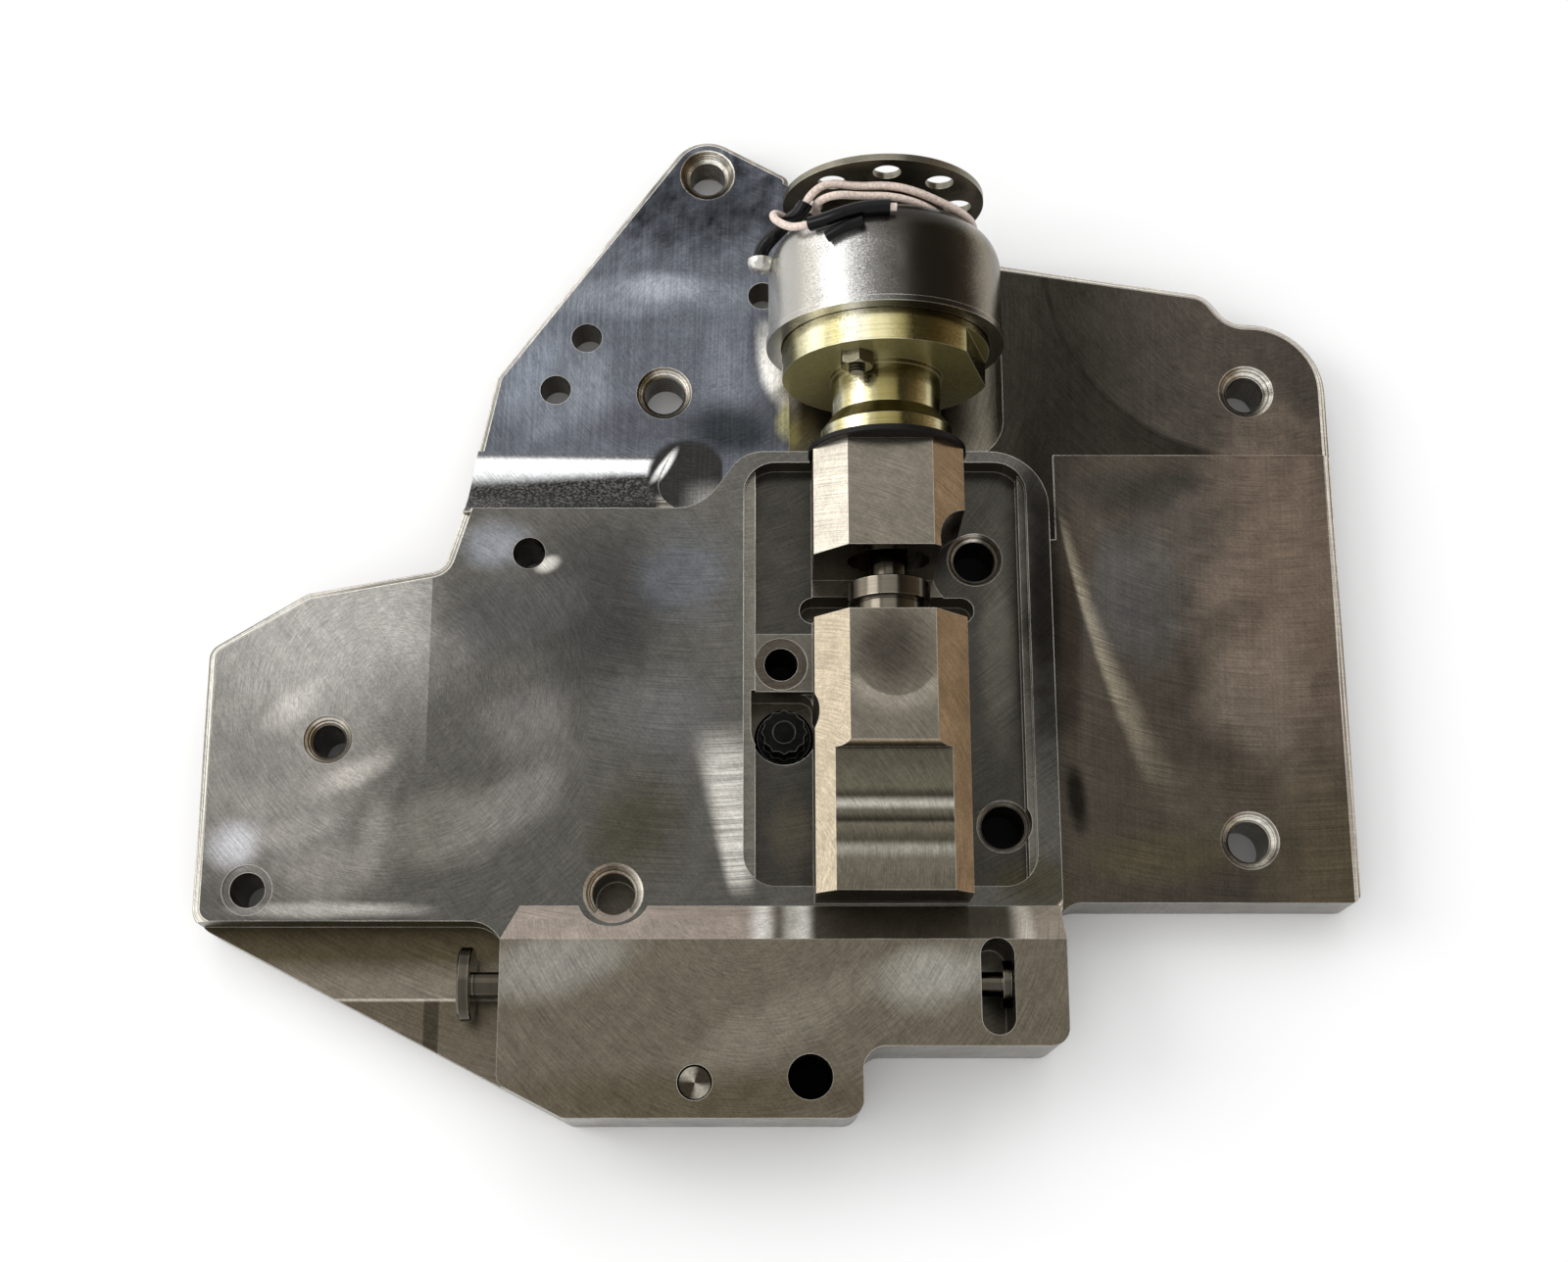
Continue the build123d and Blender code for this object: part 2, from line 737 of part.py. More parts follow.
# Nose, collar, neck and flange of the solenoid, turned as one
with BuildPart() as mounting_flange:
    bore = plunger_radius + running_clearance
    nose_end = washer_end - nose_length
    nose_lead = nose_radius / 12
    with BuildSketch(valve_plane):
        with BuildLine():
            Polyline(
                (nose_end, bore),
                (nose_end, nose_radius - nose_lead),
                (nose_end + nose_lead, nose_radius),
                (washer_end, nose_radius),
                (washer_end, collar_radius),
                (collar_end, collar_radius),
                (cone_end, neck_radius),
                (flange_start - neck_ring_length, neck_radius),
                (flange_start - neck_ring_length, neck_ring_radius),
                (flange_start, neck_ring_radius),
                (flange_start, flange_radius),
                (lip_end, flange_radius),
                (lip_end, can_inner_radius - wire_clearance),
                (seat_end, can_inner_radius - wire_clearance),
                (seat_end, bore),
                close=True,
            )
        make_face()
    revolve(axis=valve_axis)
    with BuildSketch(flange_plane):
        with PolarLocations(flange_flat_distance, 1, start_angle=flange_flat_angle):
            Rectangle(flange_radius, 2 * flange_radius, align=(Align.MIN, Align.CENTER))
    extrude(amount=-flange_thickness, mode=Mode.SUBTRACT)
    with BuildSketch(flange_plane):
        with PolarLocations(stud_circle, 1, start_angle=stud_angle):
            Circle(stud_radius + press_clearance)
    extrude(amount=stud_reach - stud_length, mode=Mode.SUBTRACT)

mounting_flange.part.label = "mounting_flange"
export_step(mounting_flange.part, "parts/mounting_flange.step")

# Stud in the flange, and its nut
with BuildPart() as flange_stud:
    with BuildSketch(flange_plane.offset(stud_reach)):
        with PolarLocations(stud_circle, 1, start_angle=stud_angle):
            Circle(stud_radius)
    extrude(amount=-stud_length)
    chamfer(flange_stud.edges().filter_by(GeomType.CIRCLE), stud_radius / 6)

flange_stud.part.label = "flange_stud"
export_step(flange_stud.part, "parts/flange_stud.step")

with BuildPart() as flange_nut:
    with BuildSketch(flange_plane):
        with PolarLocations(stud_circle, 1, start_angle=stud_angle):
            RegularPolygon(nut_across_flats / 2, 6, major_radius=False, rotation=30)
            Circle(stud_radius + running_clearance, mode=Mode.SUBTRACT)
    extrude(amount=nut_height)
    with BuildSketch(flange_plane):
        with PolarLocations(stud_circle, 1, start_angle=stud_angle):
            Circle(nut_across_flats / 2 + nut_height)
    extrude(amount=nut_height + nut_chamfer, taper=45, mode=Mode.INTERSECT)

flange_nut.part.label = "flange_nut"
export_step(flange_nut.part, "parts/flange_nut.step")

# Deep-drawn can: rolled lip, rounded shoulder and the ear on its side
with BuildPart() as solenoid_can:
    shoulder_start = can_end - can_shoulder
    shoulder_centre = (shoulder_start, can_radius - can_shoulder)
    with BuildSketch(valve_plane):
        with BuildLine():
            Polyline(
                (can_end, can_radius - can_shoulder),
                (can_end, end_stem_radius + running_clearance),
                (can_inner_end, end_stem_radius + running_clearance),
                (can_inner_end, can_radius - can_shoulder),
            )
            CenterArc(shoulder_centre, can_shoulder - can_wall, 0, 90)
            Polyline(
                (shoulder_start, can_inner_radius),
                (lip_end, can_inner_radius),
                (lip_end, lip_inner_radius),
                (lip_start, lip_inner_radius),
                (lip_start, lip_radius),
                (lip_end, lip_radius),
                (lip_end, can_radius),
                (shoulder_start, can_radius),
            )
            CenterArc(shoulder_centre, can_shoulder, 0, 90)
        make_face()
    revolve(axis=valve_axis)
    with Locations(Location((ear_x, ear_mouth, ear_z), (90, 0, 0))):
        Sphere(ear_radius, arc_size1=0, align=(Align.CENTER, Align.CENTER, Align.MIN))
    with BuildSketch(Plane(origin=(ear_x, ear_mouth, ear_z), x_dir=(1, 0, 0), z_dir=(0, -1, 0))):
        Circle(ear_bore_radius)
    extrude(amount=ear_bore_depth, mode=Mode.SUBTRACT)
    with BuildSketch(flange_plane.offset(flange_start - can_end)):
        for turn, inset in (long_lead_exit, short_lead_exit, short_lead_start, loop_exit):
            out = can_radius - inset
            with Locations((out * sin(radians(turn)), out * cos(radians(turn)))):
                Circle(wire_radius + wire_clearance)
    extrude(amount=can_wall, mode=Mode.SUBTRACT)

solenoid_can.part.label = "solenoid_can"
export_step(solenoid_can.part, "parts/solenoid_can.step")

# Fixed core: pole, back plate against the can's end, and the end stem
with BuildPart() as rear_core:
    with BuildSketch(valve_plane):
        tube(armature_end + pole_clearance, bobbin_end, 0, armature_radius)
        tube(bobbin_end, can_inner_end, 0, core_plate_radius)
        tube(can_inner_end, disc_start + disc_thickness + end_stem_reach, 0, end_stem_radius)
    revolve(axis=valve_axis)
    chamfer(rear_core.faces().sort_by(Axis.Y)[-1].edges(), end_stem_radius / 10)

rear_core.part.label = "rear_core"
export_step(rear_core.part, "parts/rear_core.step")

with BuildPart() as end_disc:
    with BuildSketch(valve_plane):
        tube(disc_start, disc_start + disc_thickness, end_stem_radius + press_clearance, disc_radius)
    revolve(axis=valve_axis)
    with BuildSketch(flange_plane.offset(flange_start - disc_start)):
        with PolarLocations(disc_hole_circle, disc_hole_count, start_angle=90):
            Circle(disc_hole_radius)
    extrude(amount=-disc_thickness, mode=Mode.SUBTRACT)

end_disc.part.label = "end_disc"
export_step(end_disc.part, "parts/end_disc.step")

# Coil inside the can
with BuildPart() as coil_bobbin:
    with BuildSketch(valve_plane):
        tube(seat_end, bobbin_end, bobbin_bore_radius, winding_inner_radius)
        tube(seat_end, seat_end + bobbin_wall, bobbin_bore_radius, can_inner_radius - coil_clearance)
        tube(bobbin_end - bobbin_wall, bobbin_end, bobbin_bore_radius, rear_flange_radius)
    revolve(axis=valve_axis)

coil_bobbin.part.label = "coil_bobbin"
export_step(coil_bobbin.part, "parts/coil_bobbin.step")

with BuildPart() as coil_winding:
    with BuildSketch(valve_plane):
        tube(
            seat_end + bobbin_wall,
            bobbin_end - bobbin_wall,
            winding_inner_radius,
            rear_flange_radius - bobbin_wall,
        )
    revolve(axis=valve_axis)

coil_winding.part.label = "coil_winding"
export_step(coil_winding.part, "parts/coil_winding.step")

# Armature, and the stem that carries its push to the spool
with BuildPart() as armature:
    with BuildSketch(valve_plane):
        tube(armature_start, armature_end, 0, armature_radius)
    revolve(axis=valve_axis)
    chamfer(armature.edges().filter_by(GeomType.CIRCLE), armature_radius / 20)

armature.part.label = "armature"
export_step(armature.part, "parts/armature.step")

with BuildPart() as plunger_stem:
    with BuildSketch(valve_plane):
        tube(spool_collar_back, armature_start, 0, plunger_radius)
    revolve(axis=valve_axis)

plunger_stem.part.label = "plunger_stem"
export_step(plunger_stem.part, "parts/plunger_stem.step")

# Valve spool: its collar in the gap, and two lands in the lower boss
with BuildPart() as valve_spool:
    with BuildSketch(valve_plane):
        tube(spool_end_land[0], spool_collar_back, 0, spool_stem_radius)
        tube(spool_collar_back - spool_collar_thickness, spool_collar_back, 0, spool_collar_radius)
        tube(spool_front_land_end, spool_collar_back, 0, spool_land_radius)
        tube(*spool_end_land, 0, spool_land_radius)
    revolve(axis=valve_axis)
    rims = valve_spool.edges().filter_by(GeomType.CIRCLE).group_by(SortBy.RADIUS)
    land_rims = rims[-2].filter_by(lambda edge: edge.center().Y < gap_bottom)
    chamfer(rims[-1] + land_rims, spool_land_radius / 25)

valve_spool.part.label = "valve_spool"
export_step(valve_spool.part, "parts/valve_spool.step")

# Spring between the spool and the bottom of its bore
with BuildPart() as spool_spring:
    spring_height = spool_end_land[0] - spool_bore_end - spring_wire_width - coil_clearance
    with BuildLine() as spring_path:
        Helix(
            spring_height / spring_turns,
            spring_height,
            spring_radius,
            center=(axis_x, spool_bore_end + (spring_wire_width + coil_clearance) / 2, axis_z),
            direction=(0, 1, 0),
        )
    with BuildSketch(Plane(origin=spring_path.line @ 0, z_dir=spring_path.line % 0)):
        Rectangle(spring_wire_width, spring_wire_width)
    sweep(is_frenet=True)

spool_spring.part.label = "spool_spring"
export_step(spool_spring.part, "parts/spool_spring.step")


def behind_can(turn, inset, gap):
    """Point behind the can's end: turn in degrees from the top towards +X, inset from its side."""
    out = can_radius - inset
    return Vector(axis_x + out * sin(radians(turn)), can_end + gap, axis_z + out * cos(radians(turn)))


def over_shoulder(turn, lean, lift):
    """Point above the rounded shoulder: lean in degrees from the side to the end."""
    reach = can_shoulder + lift
    inset = can_shoulder - reach * cos(radians(lean))
    return behind_can(turn, inset, reach * sin(radians(lean)) - can_shoulder)


def bend_radii(route):
    """Bends as large as the runs beside them allow."""
    radii = []
    for before, corner, after in zip(route, route[1:], route[2:]):
        run_in = corner - before
        run_out = after - corner
        half_turn = radians(run_in.get_angle(run_out)) / 2
        radii.append(0.45 * min(run_in.length, run_out.length) / tan(half_turn))
    return radii


def sleeved(route, first, last):
    """Stretch of a route that a sleeve covers, from mid run to mid run."""
    start = (route[first - 1] + route[first]) / 2
    end = (route[last] + route[last + 1]) / 2
    return [start] + route[first : last + 1] + [end], bend_radii(route)[first - 1 : last]


sleeve_height = sleeve_radius + sleeve_lift
cover_height = cover_radius + sleeve_lift
exit_height = sleeve_height + pole_clearance

# From the ear, through the exit sleeve and round the gap to the can's end
long_lead_route = [
    Vector(ear_x, ear_mouth - ear_bore_depth + wire_seat, ear_z),
    Vector(ear_x, ear_mouth + 2.8, ear_z),
    over_shoulder(-72.5, 40, exit_height),
    over_shoulder(-60.5, 42, exit_height),
    over_shoulder(-50, 48, exit_height),
    behind_can(-44, 2.0, 3.8),
    behind_can(-37, 5.1, 6.8),
    behind_can(-24, 9.0, 6.2),
    behind_can(1, 7.6, 5.0),
    behind_can(17, 7.2, 4.0),
    behind_can(40, 8.3, 3.5),
    behind_can(60, 7.3, 3.2),
    behind_can(77, 6.1, 3.1),
    behind_can(95, 5.4, 3.0),
    behind_can(113, 6.5, 3.1),
    behind_can(*long_lead_exit, 3.3),
    behind_can(*long_lead_exit, -wire_seat),
]
short_lead_route = [
    behind_can(*short_lead_start, -wire_seat),
    behind_can(*short_lead_start, 2.8),
    behind_can(-54, 6.1, 2.4),
    behind_can(-41, 3.4, 2.0),
    behind_can(-29, 2.6, 1.8),
    behind_can(-16, 6.3, 2.0),
    behind_can(1, 7.0, 2.0),
    behind_can(19, 8.1, 1.6),
    behind_can(40, 10.1, 1.7),
    behind_can(*short_lead_exit, 2.4),
    behind_can(*short_lead_exit, -wire_seat),
]
loop_route = [
    behind_can(*loop_exit, -wire_seat),
    behind_can(*loop_exit, 2.6),
    behind_can(-70, 3.0, 2.0),
    behind_can(-63, -1.4, 1.2),
    behind_can(-59, -3.5, -0.6),
    behind_can(-56, -3.9, -2.6),
    behind_can(-51, -2.9, -4.9),
    behind_can(-45, -2.2, -6.2),
    over_shoulder(-31, 14, sleeve_height),
    over_shoulder(-22, 19, sleeve_height),
    over_shoulder(-13, 23, sleeve_height),
    over_shoulder(-3, 24, sleeve_height),
    over_shoulder(3, 23, sleeve_height),
]
cover_route = [
    behind_can(-29.5, -cover_height, -can_shoulder - 1.6),
    behind_can(-24, -cover_height, -can_shoulder - 0.6),
    over_shoulder(-18, 1.5, cover_height),
    over_shoulder(-12, 5, cover_height),
]
sleeve_bore = wire_radius + wire_clearance
leads = [
    ("lead_wire_long", long_lead_route, bend_radii(long_lead_route), wire_radius, 0),
    ("lead_wire_short", short_lead_route, bend_radii(short_lead_route), wire_radius, 0),
    ("lead_loop", loop_route, bend_radii(loop_route), wire_radius, 0),
    ("exit_sleeve", *sleeved(long_lead_route, 1, 4), sleeve_radius, sleeve_bore),
    ("shoulder_sleeve", *sleeved(loop_route, 8, 11), sleeve_radius, sleeve_bore),
    ("cover_sleeve", cover_route, bend_radii(cover_route), cover_radius, wire_radius / 2),
]

for name, route, radii, radius, bore in leads:
    with BuildPart() as lead:
        with BuildLine() as path:
            FilletPolyline(*route, radius=radii)
        with BuildSketch(Plane(origin=path.line @ 0, z_dir=path.line % 0)):
            RegularPolygon(radius, lead_sides)
            if bore:
                RegularPolygon(bore, lead_sides, major_radius=False, mode=Mode.SUBTRACT)
        sweep()
    lead.part.label = name
    export_step(lead.part, f"parts/{name}.step")
    print(name, "length", round(path.wire().length, 1), "bends", [round(value, 1) for value in radii])
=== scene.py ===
# %% [markdown]
# A milled aluminium valve body plate carries a solenoid valve in an octagonal
# boss. Its shape is finished in the CAD model, so this lesson is about how
# such a part is lit, how its leads are drawn, and how its metals, rubber and
# wires are given a surface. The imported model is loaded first. It is in
# metres, with the plate's back at Z 0, and nothing in it is moved.

import json
from math import cos, pi, radians, sin

import bpy
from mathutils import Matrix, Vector


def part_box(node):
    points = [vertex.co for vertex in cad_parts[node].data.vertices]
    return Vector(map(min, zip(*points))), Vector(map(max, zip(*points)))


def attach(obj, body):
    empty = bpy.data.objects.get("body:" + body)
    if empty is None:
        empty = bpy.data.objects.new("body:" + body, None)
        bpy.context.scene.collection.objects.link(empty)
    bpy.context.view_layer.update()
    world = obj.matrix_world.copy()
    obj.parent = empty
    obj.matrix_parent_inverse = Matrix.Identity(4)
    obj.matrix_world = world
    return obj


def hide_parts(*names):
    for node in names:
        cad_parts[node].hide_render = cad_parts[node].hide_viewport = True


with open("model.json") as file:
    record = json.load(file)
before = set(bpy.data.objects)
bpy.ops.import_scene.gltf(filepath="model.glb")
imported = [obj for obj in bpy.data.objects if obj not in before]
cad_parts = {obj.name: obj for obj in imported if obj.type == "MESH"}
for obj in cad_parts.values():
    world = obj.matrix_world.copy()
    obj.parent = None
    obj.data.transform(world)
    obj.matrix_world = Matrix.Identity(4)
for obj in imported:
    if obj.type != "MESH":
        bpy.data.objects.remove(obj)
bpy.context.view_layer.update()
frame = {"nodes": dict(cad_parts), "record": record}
bpy.ops.object.select_all(action="DESELECT")
collection = bpy.context.scene.collection

# %% [markdown]
# The photograph was taken from above and a little in front, so the camera
# leans back by about sixteen degrees. A short tele lens keeps the plate's
# edges nearly parallel. The lens is shifted sideways a little, because the
# photograph was cropped off centre.

# %% Camera
shift_in_pixels, photo_width = 25, 1600
camera_data = bpy.data.cameras.new("camera")
camera_data.sensor_width = 36
camera_data.lens = 52.245
camera_data.shift_x = shift_in_pixels / photo_width
camera = bpy.data.objects.new("camera", camera_data)
camera.location = (-0.0046, -0.1533, 0.5278)
camera.rotation_euler = (radians(15.8), 0, 0)
collection.objects.link(camera)
bpy.context.scene.camera = camera
print("camera at", tuple(camera.location))

# %% [markdown]
# The coil's leads are short pieces of soft insulated wire. One comes out of
# the ear on the can's side, and the others out of the can's end, and all go
# back into the solenoid or end in a sleeve. They could be swept meshes, but
# a curve with a round section stays smooth and is easy to move. Its control
# points are placed round the can: how far they are turned from the top, how
# far inside the can's side and how far behind its end, in millimetres.

# %% Places round the can
can_axis = Vector((0.025, 0, 0.030))
can_end = 0.084
can_radius = 27.5
can_shoulder = 9.0


def behind_can(turn, inset, gap):
    """Point behind the can's end, in metres."""
    out = (can_radius - inset) / 1000
    return can_axis + Vector((out * sin(radians(turn)), can_end + gap / 1000, out * cos(radians(turn))))


def over_shoulder(turn, lean, lift):
    """Point above the can's rounded shoulder, in metres."""
    reach = can_shoulder + lift
    inset = can_shoulder - reach * cos(radians(lean))
    return behind_can(turn, inset, reach * sin(radians(lean)) - can_shoulder)


def points(make, *spots):
    """Points that one of the two functions makes from the three values of each spot."""
    return [make(*spot) for spot in spots]


print("top of the can's end", tuple(behind_can(0, 0, 0)))

# %% [markdown]
# The points of each lead were chosen to follow the photo. The long
# lead climbs out of the ear and goes round the gap behind the can, and the
# short one lies between it and the can's end. The third makes a loop beside
# the ear and lies down on the shoulder, as high as its sleeve needs.

# %% Routes of the leads
ear = Vector((-0.00429, 0.0750, 0.03601))
sleeve_height, exit_height = 1.85, 2.35
long_route = [ear, ear + Vector((0, 0.0042, 0))]
long_route += points(
    over_shoulder, (-72.5, 40, exit_height), (-60.5, 42, exit_height), (-50, 48, exit_height))
long_route += points(
    behind_can, (-44, 2.0, 3.8), (-37, 5.1, 6.8), (-24, 9.0, 6.2), (1, 7.6, 5.0), (17, 7.2, 4.0),
    (40, 8.3, 3.5), (60, 7.3, 3.2), (77, 6.1, 3.1), (95, 5.4, 3.0), (113, 6.5, 3.1),
    (126, 11.0, 3.3), (126, 11.0, -0.8))
short_route = points(
    behind_can, (-64, 11.4, -0.8), (-64, 11.4, 2.8), (-54, 6.1, 2.4), (-41, 3.4, 2.0),
    (-29, 2.6, 1.8), (-16, 6.3, 2.0), (1, 7.0, 2.0), (19, 8.1, 1.6), (40, 10.1, 1.7),
    (60, 12.0, 2.4), (60, 12.0, -0.8))
loop_route = points(
    behind_can, (-84.5, 11.9, -0.8), (-84.5, 11.9, 2.6), (-70, 3.0, 2.0), (-63, -1.4, 1.2),
    (-59, -3.5, -0.6), (-56, -3.9, -2.6), (-51, -2.9, -4.9), (-45, -2.2, -6.2))
loop_route += points(
    over_shoulder, (-31, 14, sleeve_height), (-22, 19, sleeve_height), (-13, 23, sleeve_height),
    (-3, 24, sleeve_height), (3, 23, sleeve_height))
print(len(long_route), len(short_route), len(loop_route), "points on the leads")

# %% [markdown]
# The wire's thickness is set as the radius of its points, over a bevel of
# 1 m, because Blender adds that radius to the box that it measures for a
# curve. The sleeves are pieces of black shrink tube. Each follows a stretch
# of its lead's route, from the middle of one run to the middle of another.
# The tube is drawn as a curve with a round section, turned into a mesh, and
# given its wall with a Solidify modifier, so that its ends are open as on a
# real tube.

# %% Draw the leads and the sleeves
def wire(name, route, radius, capped=True):
    """Draws a smooth round wire along a route, as a curve."""
    data = bpy.data.curves.new(name, "CURVE")
    data.dimensions = "3D"
    spline = data.splines.new("NURBS")
    spline.points.add(len(route) - 1)
    for point, place_of_point in zip(spline.points, route):
        point.co = (*place_of_point, 1)
        point.radius = radius
    spline.order_u = 3
    spline.use_endpoint_u = True
    spline.resolution_u = 10
    data.bevel_depth = 1
    data.bevel_resolution = 5
    data.use_fill_caps = capped
    curve = bpy.data.objects.new(name, data)
    collection.objects.link(curve)
    return curve


def sleeve(name, route, radius, wall=0.0005):
    """Draws an open tube along a route, as a mesh with a wall."""
    tube = wire(name, route, radius, capped=False)
    bpy.ops.object.select_all(action="DESELECT")
    tube.select_set(True)
    bpy.context.view_layer.objects.active = tube
    bpy.ops.object.convert(target="MESH")
    tube = bpy.context.object
    bpy.ops.object.mode_set(mode="EDIT")
    bpy.ops.mesh.select_all(action="SELECT")
    bpy.ops.mesh.remove_doubles(threshold=0.00001)
    bpy.ops.mesh.normals_make_consistent(inside=False)
    bpy.ops.object.mode_set(mode="OBJECT")
    thickness = tube.modifiers.new("wall", "SOLIDIFY")
    thickness.thickness = wall
    thickness.offset = -1
    bpy.ops.object.modifier_apply(modifier="wall")
    bpy.ops.object.shade_smooth_by_angle(angle=radians(40))
    bpy.ops.object.select_all(action="DESELECT")
    return tube


def covered(route, first, last):
    """Stretch of a route from the middle of one run to the middle of another."""
    start = (route[first - 1] + route[first]) / 2
    end = (route[last] + route[last + 1]) / 2
    return [start, *route[first : last + 1], end]


lead_radius = 0.00095
sleeve_radius = 0.00175
cover_radius = 0.00135
cover_route = points(behind_can, (-29.5, -1.45, -10.6), (-24, -1.45, -9.6))
cover_route += points(over_shoulder, (-18, 1.5, 1.45), (-12, 5, 1.45))
long_lead = wire("coil_lead_long", long_route, lead_radius)
short_lead = wire("coil_lead_short", short_route, lead_radius)
lead_loop = wire("coil_lead_loop", loop_route, lead_radius)
exit_tube = sleeve("ear_sleeve", covered(long_route, 1, 4), sleeve_radius)
shoulder_tube = sleeve("shoulder_tube", covered(loop_route, 8, 11), sleeve_radius)
cover_tube = sleeve("cover_tube", cover_route, cover_radius)
print("sleeve meshes have", [len(tube.data.vertices) for tube in (exit_tube, shoulder_tube, cover_tube)])

# %% [markdown]
# The drawn pieces stand for the CAD's own leads and sleeves, so those are
# hidden, and the drawn ones are hung on the housing's body.

# %% Hang the drawn leads on the housing
lead_pieces = [
    (long_lead, "lead_wire_long", "wire_insulation"),
    (short_lead, "lead_wire_short", "wire_insulation"),
    (lead_loop, "lead_loop", "wire_insulation"),
    (exit_tube, "exit_sleeve", "black_sleeving"),
    (shoulder_tube, "shoulder_sleeve", "black_sleeving"),
    (cover_tube, "cover_sleeve", "black_sleeving"),
]
for piece, node_name, slot_name in lead_pieces:
    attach(piece, "housing")
    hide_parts(node_name)
print(len(lead_pieces), "pieces stand for the leads and sleeves")

# %% [markdown]
# Every finish below is made of nodes. A few helpers keep that short: one
# turns a screen colour into the linear value that a shader wants, one starts
# a finish, and one links a socket or sets its value.

# %% Helpers for colours and finishes
def screen(red, green, blue):
    """Gives the linear colour of a screen colour from 0 to 255."""
    parts = [part / 255 for part in (red, green, blue)]
    linear = [part / 12.92 if part <= 0.04045 else ((part + 0.055) / 1.055) ** 2.4 for part in parts]
    return (*linear, 1)


finishes = {}


def start_finish(name, color, metallic, roughness):
    """Starts a finish, keeps it under its name, and gives its tree and its surface shader."""
    finish = bpy.data.materials.new(name)
    finish.use_nodes = True
    shader = finish.node_tree.nodes["Principled BSDF"]
    shader.inputs["Base Color"].default_value = color
    shader.inputs["Metallic"].default_value = metallic
    shader.inputs["Roughness"].default_value = roughness
    finishes[name] = finish
    return finish.node_tree, shader


def feed(tree, value, socket):
    """Links another socket to this one, or sets it to a plain value."""
    if isinstance(value, bpy.types.NodeSocket):
        tree.links.new(value, socket)
    else:
        socket.default_value = value


print("aluminium grey on screen is", screen(128, 126, 122)[:3])

# %% [markdown]
# Math nodes do the sums of a finish, and a Map Range node turns one range of
# values into another, evenly or with soft ends. Every painted mark below
# gets its edge from such a soft range.

# %% Helpers for sums and mixes
def reckon(tree, operation, *values):
    """Adds a math node."""
    node = tree.nodes.new("ShaderNodeMath")
    node.operation = operation
    for value, socket in zip(values, node.inputs):
        feed(tree, value, socket)
    return node.outputs[0]


def times(tree, first, *others):
    """Multiplies masks and strengths with each other."""
    for other in others:
        first = reckon(tree, "MULTIPLY", first, other)
    return first


def minus(tree, first, second):
    """Takes one value from another."""
    return reckon(tree, "SUBTRACT", first, second)


def straight(tree, value, start, end):
    """Turns a value between start and end evenly into one between 0 and 1."""
    node = tree.nodes.new("ShaderNodeMapRange")
    for name, part in zip(("Value", "From Min", "From Max"), (value, start, end)):
        feed(tree, part, node.inputs[name])
    return node.outputs["Result"]


def fade(tree, value, start, end, low=0.0, high=1.0):
    """Turns a value between start and end smoothly into one between low and high."""
    node = tree.nodes.new("ShaderNodeMapRange")
    node.interpolation_type = "SMOOTHSTEP"
    names = ("Value", "From Min", "From Max", "To Min", "To Max")
    for name, part in zip(names, (value, start, end, low, high)):
        feed(tree, part, node.inputs[name])
    return node.outputs["Result"]


def between(tree, value, low, high, soft=0.0003):
    """Gives 1 where a value lies between two others, with a soft change at each."""
    rise = fade(tree, value, low - soft, low + soft)
    fall = fade(tree, value, high + soft, high - soft)
    return times(tree, rise, fall)


def mix(tree, amount, first, second, way="MIX"):
    """Mixes two colours by an amount."""
    node = tree.nodes.new("ShaderNodeMix")
    node.data_type = "RGBA"
    node.blend_type = way
    feed(tree, amount, node.inputs[0])
    feed(tree, first, node.inputs[6])
    feed(tree, second, node.inputs[7])
    return node.outputs[2]


def shaded(tree, color, shade):
    """Makes a colour lighter or darker by a factor."""
    return mix(tree, 1.0, color, shade, "MULTIPLY")


print("sum and mix helpers are ready")

# %% [markdown]
# Patterns come from noise. Stretched a lot along one way it looks like the
# lines of a brush, and left round it looks like grain. Edges are painted
# bright, partly as wear and partly as the painted glint of their small
# rounding. They are found with a Bevel node, which would turn the surface there.

# %% Helpers for places and patterns
def split(tree, vector):
    """Gives the three parts of a vector."""
    parts = tree.nodes.new("ShaderNodeSeparateXYZ")
    tree.links.new(vector, parts.inputs[0])
    return parts.outputs[0], parts.outputs[1], parts.outputs[2]


def place(tree):
    """Gives the object's own coordinates and their three parts."""
    coordinates = tree.nodes.new("ShaderNodeTexCoord").outputs["Object"]
    return coordinates, *split(tree, coordinates)


def facing(tree):
    """Gives the three parts of the direction in which the flat face looks."""
    return split(tree, tree.nodes.new("ShaderNodeNewGeometry").outputs["True Normal"])


def grain(tree, coordinates, scale, stretch=(1, 1, 1), turn=0.0, detail=3.0):
    """Gives a noise value, turned about Z and stretched along one way."""
    turned_round = tree.nodes.new("ShaderNodeMapping")
    turned_round.inputs["Rotation"].default_value = (0, 0, radians(turn))
    tree.links.new(coordinates, turned_round.inputs["Vector"])
    squeezed = tree.nodes.new("ShaderNodeMapping")
    squeezed.inputs["Scale"].default_value = stretch
    tree.links.new(turned_round.outputs[0], squeezed.inputs["Vector"])
    noise = tree.nodes.new("ShaderNodeTexNoise")
    noise.inputs["Scale"].default_value = scale
    noise.inputs["Detail"].default_value = detail
    tree.links.new(squeezed.outputs[0], noise.inputs["Vector"])
    return noise.outputs["Fac"]


def vary(tree, noise, low, high, reach=0.2):
    """Turns a noise, whose middle is 0.5, into a factor between low and high."""
    return fade(tree, noise, 0.5 - reach, 0.5 + reach, low, high)


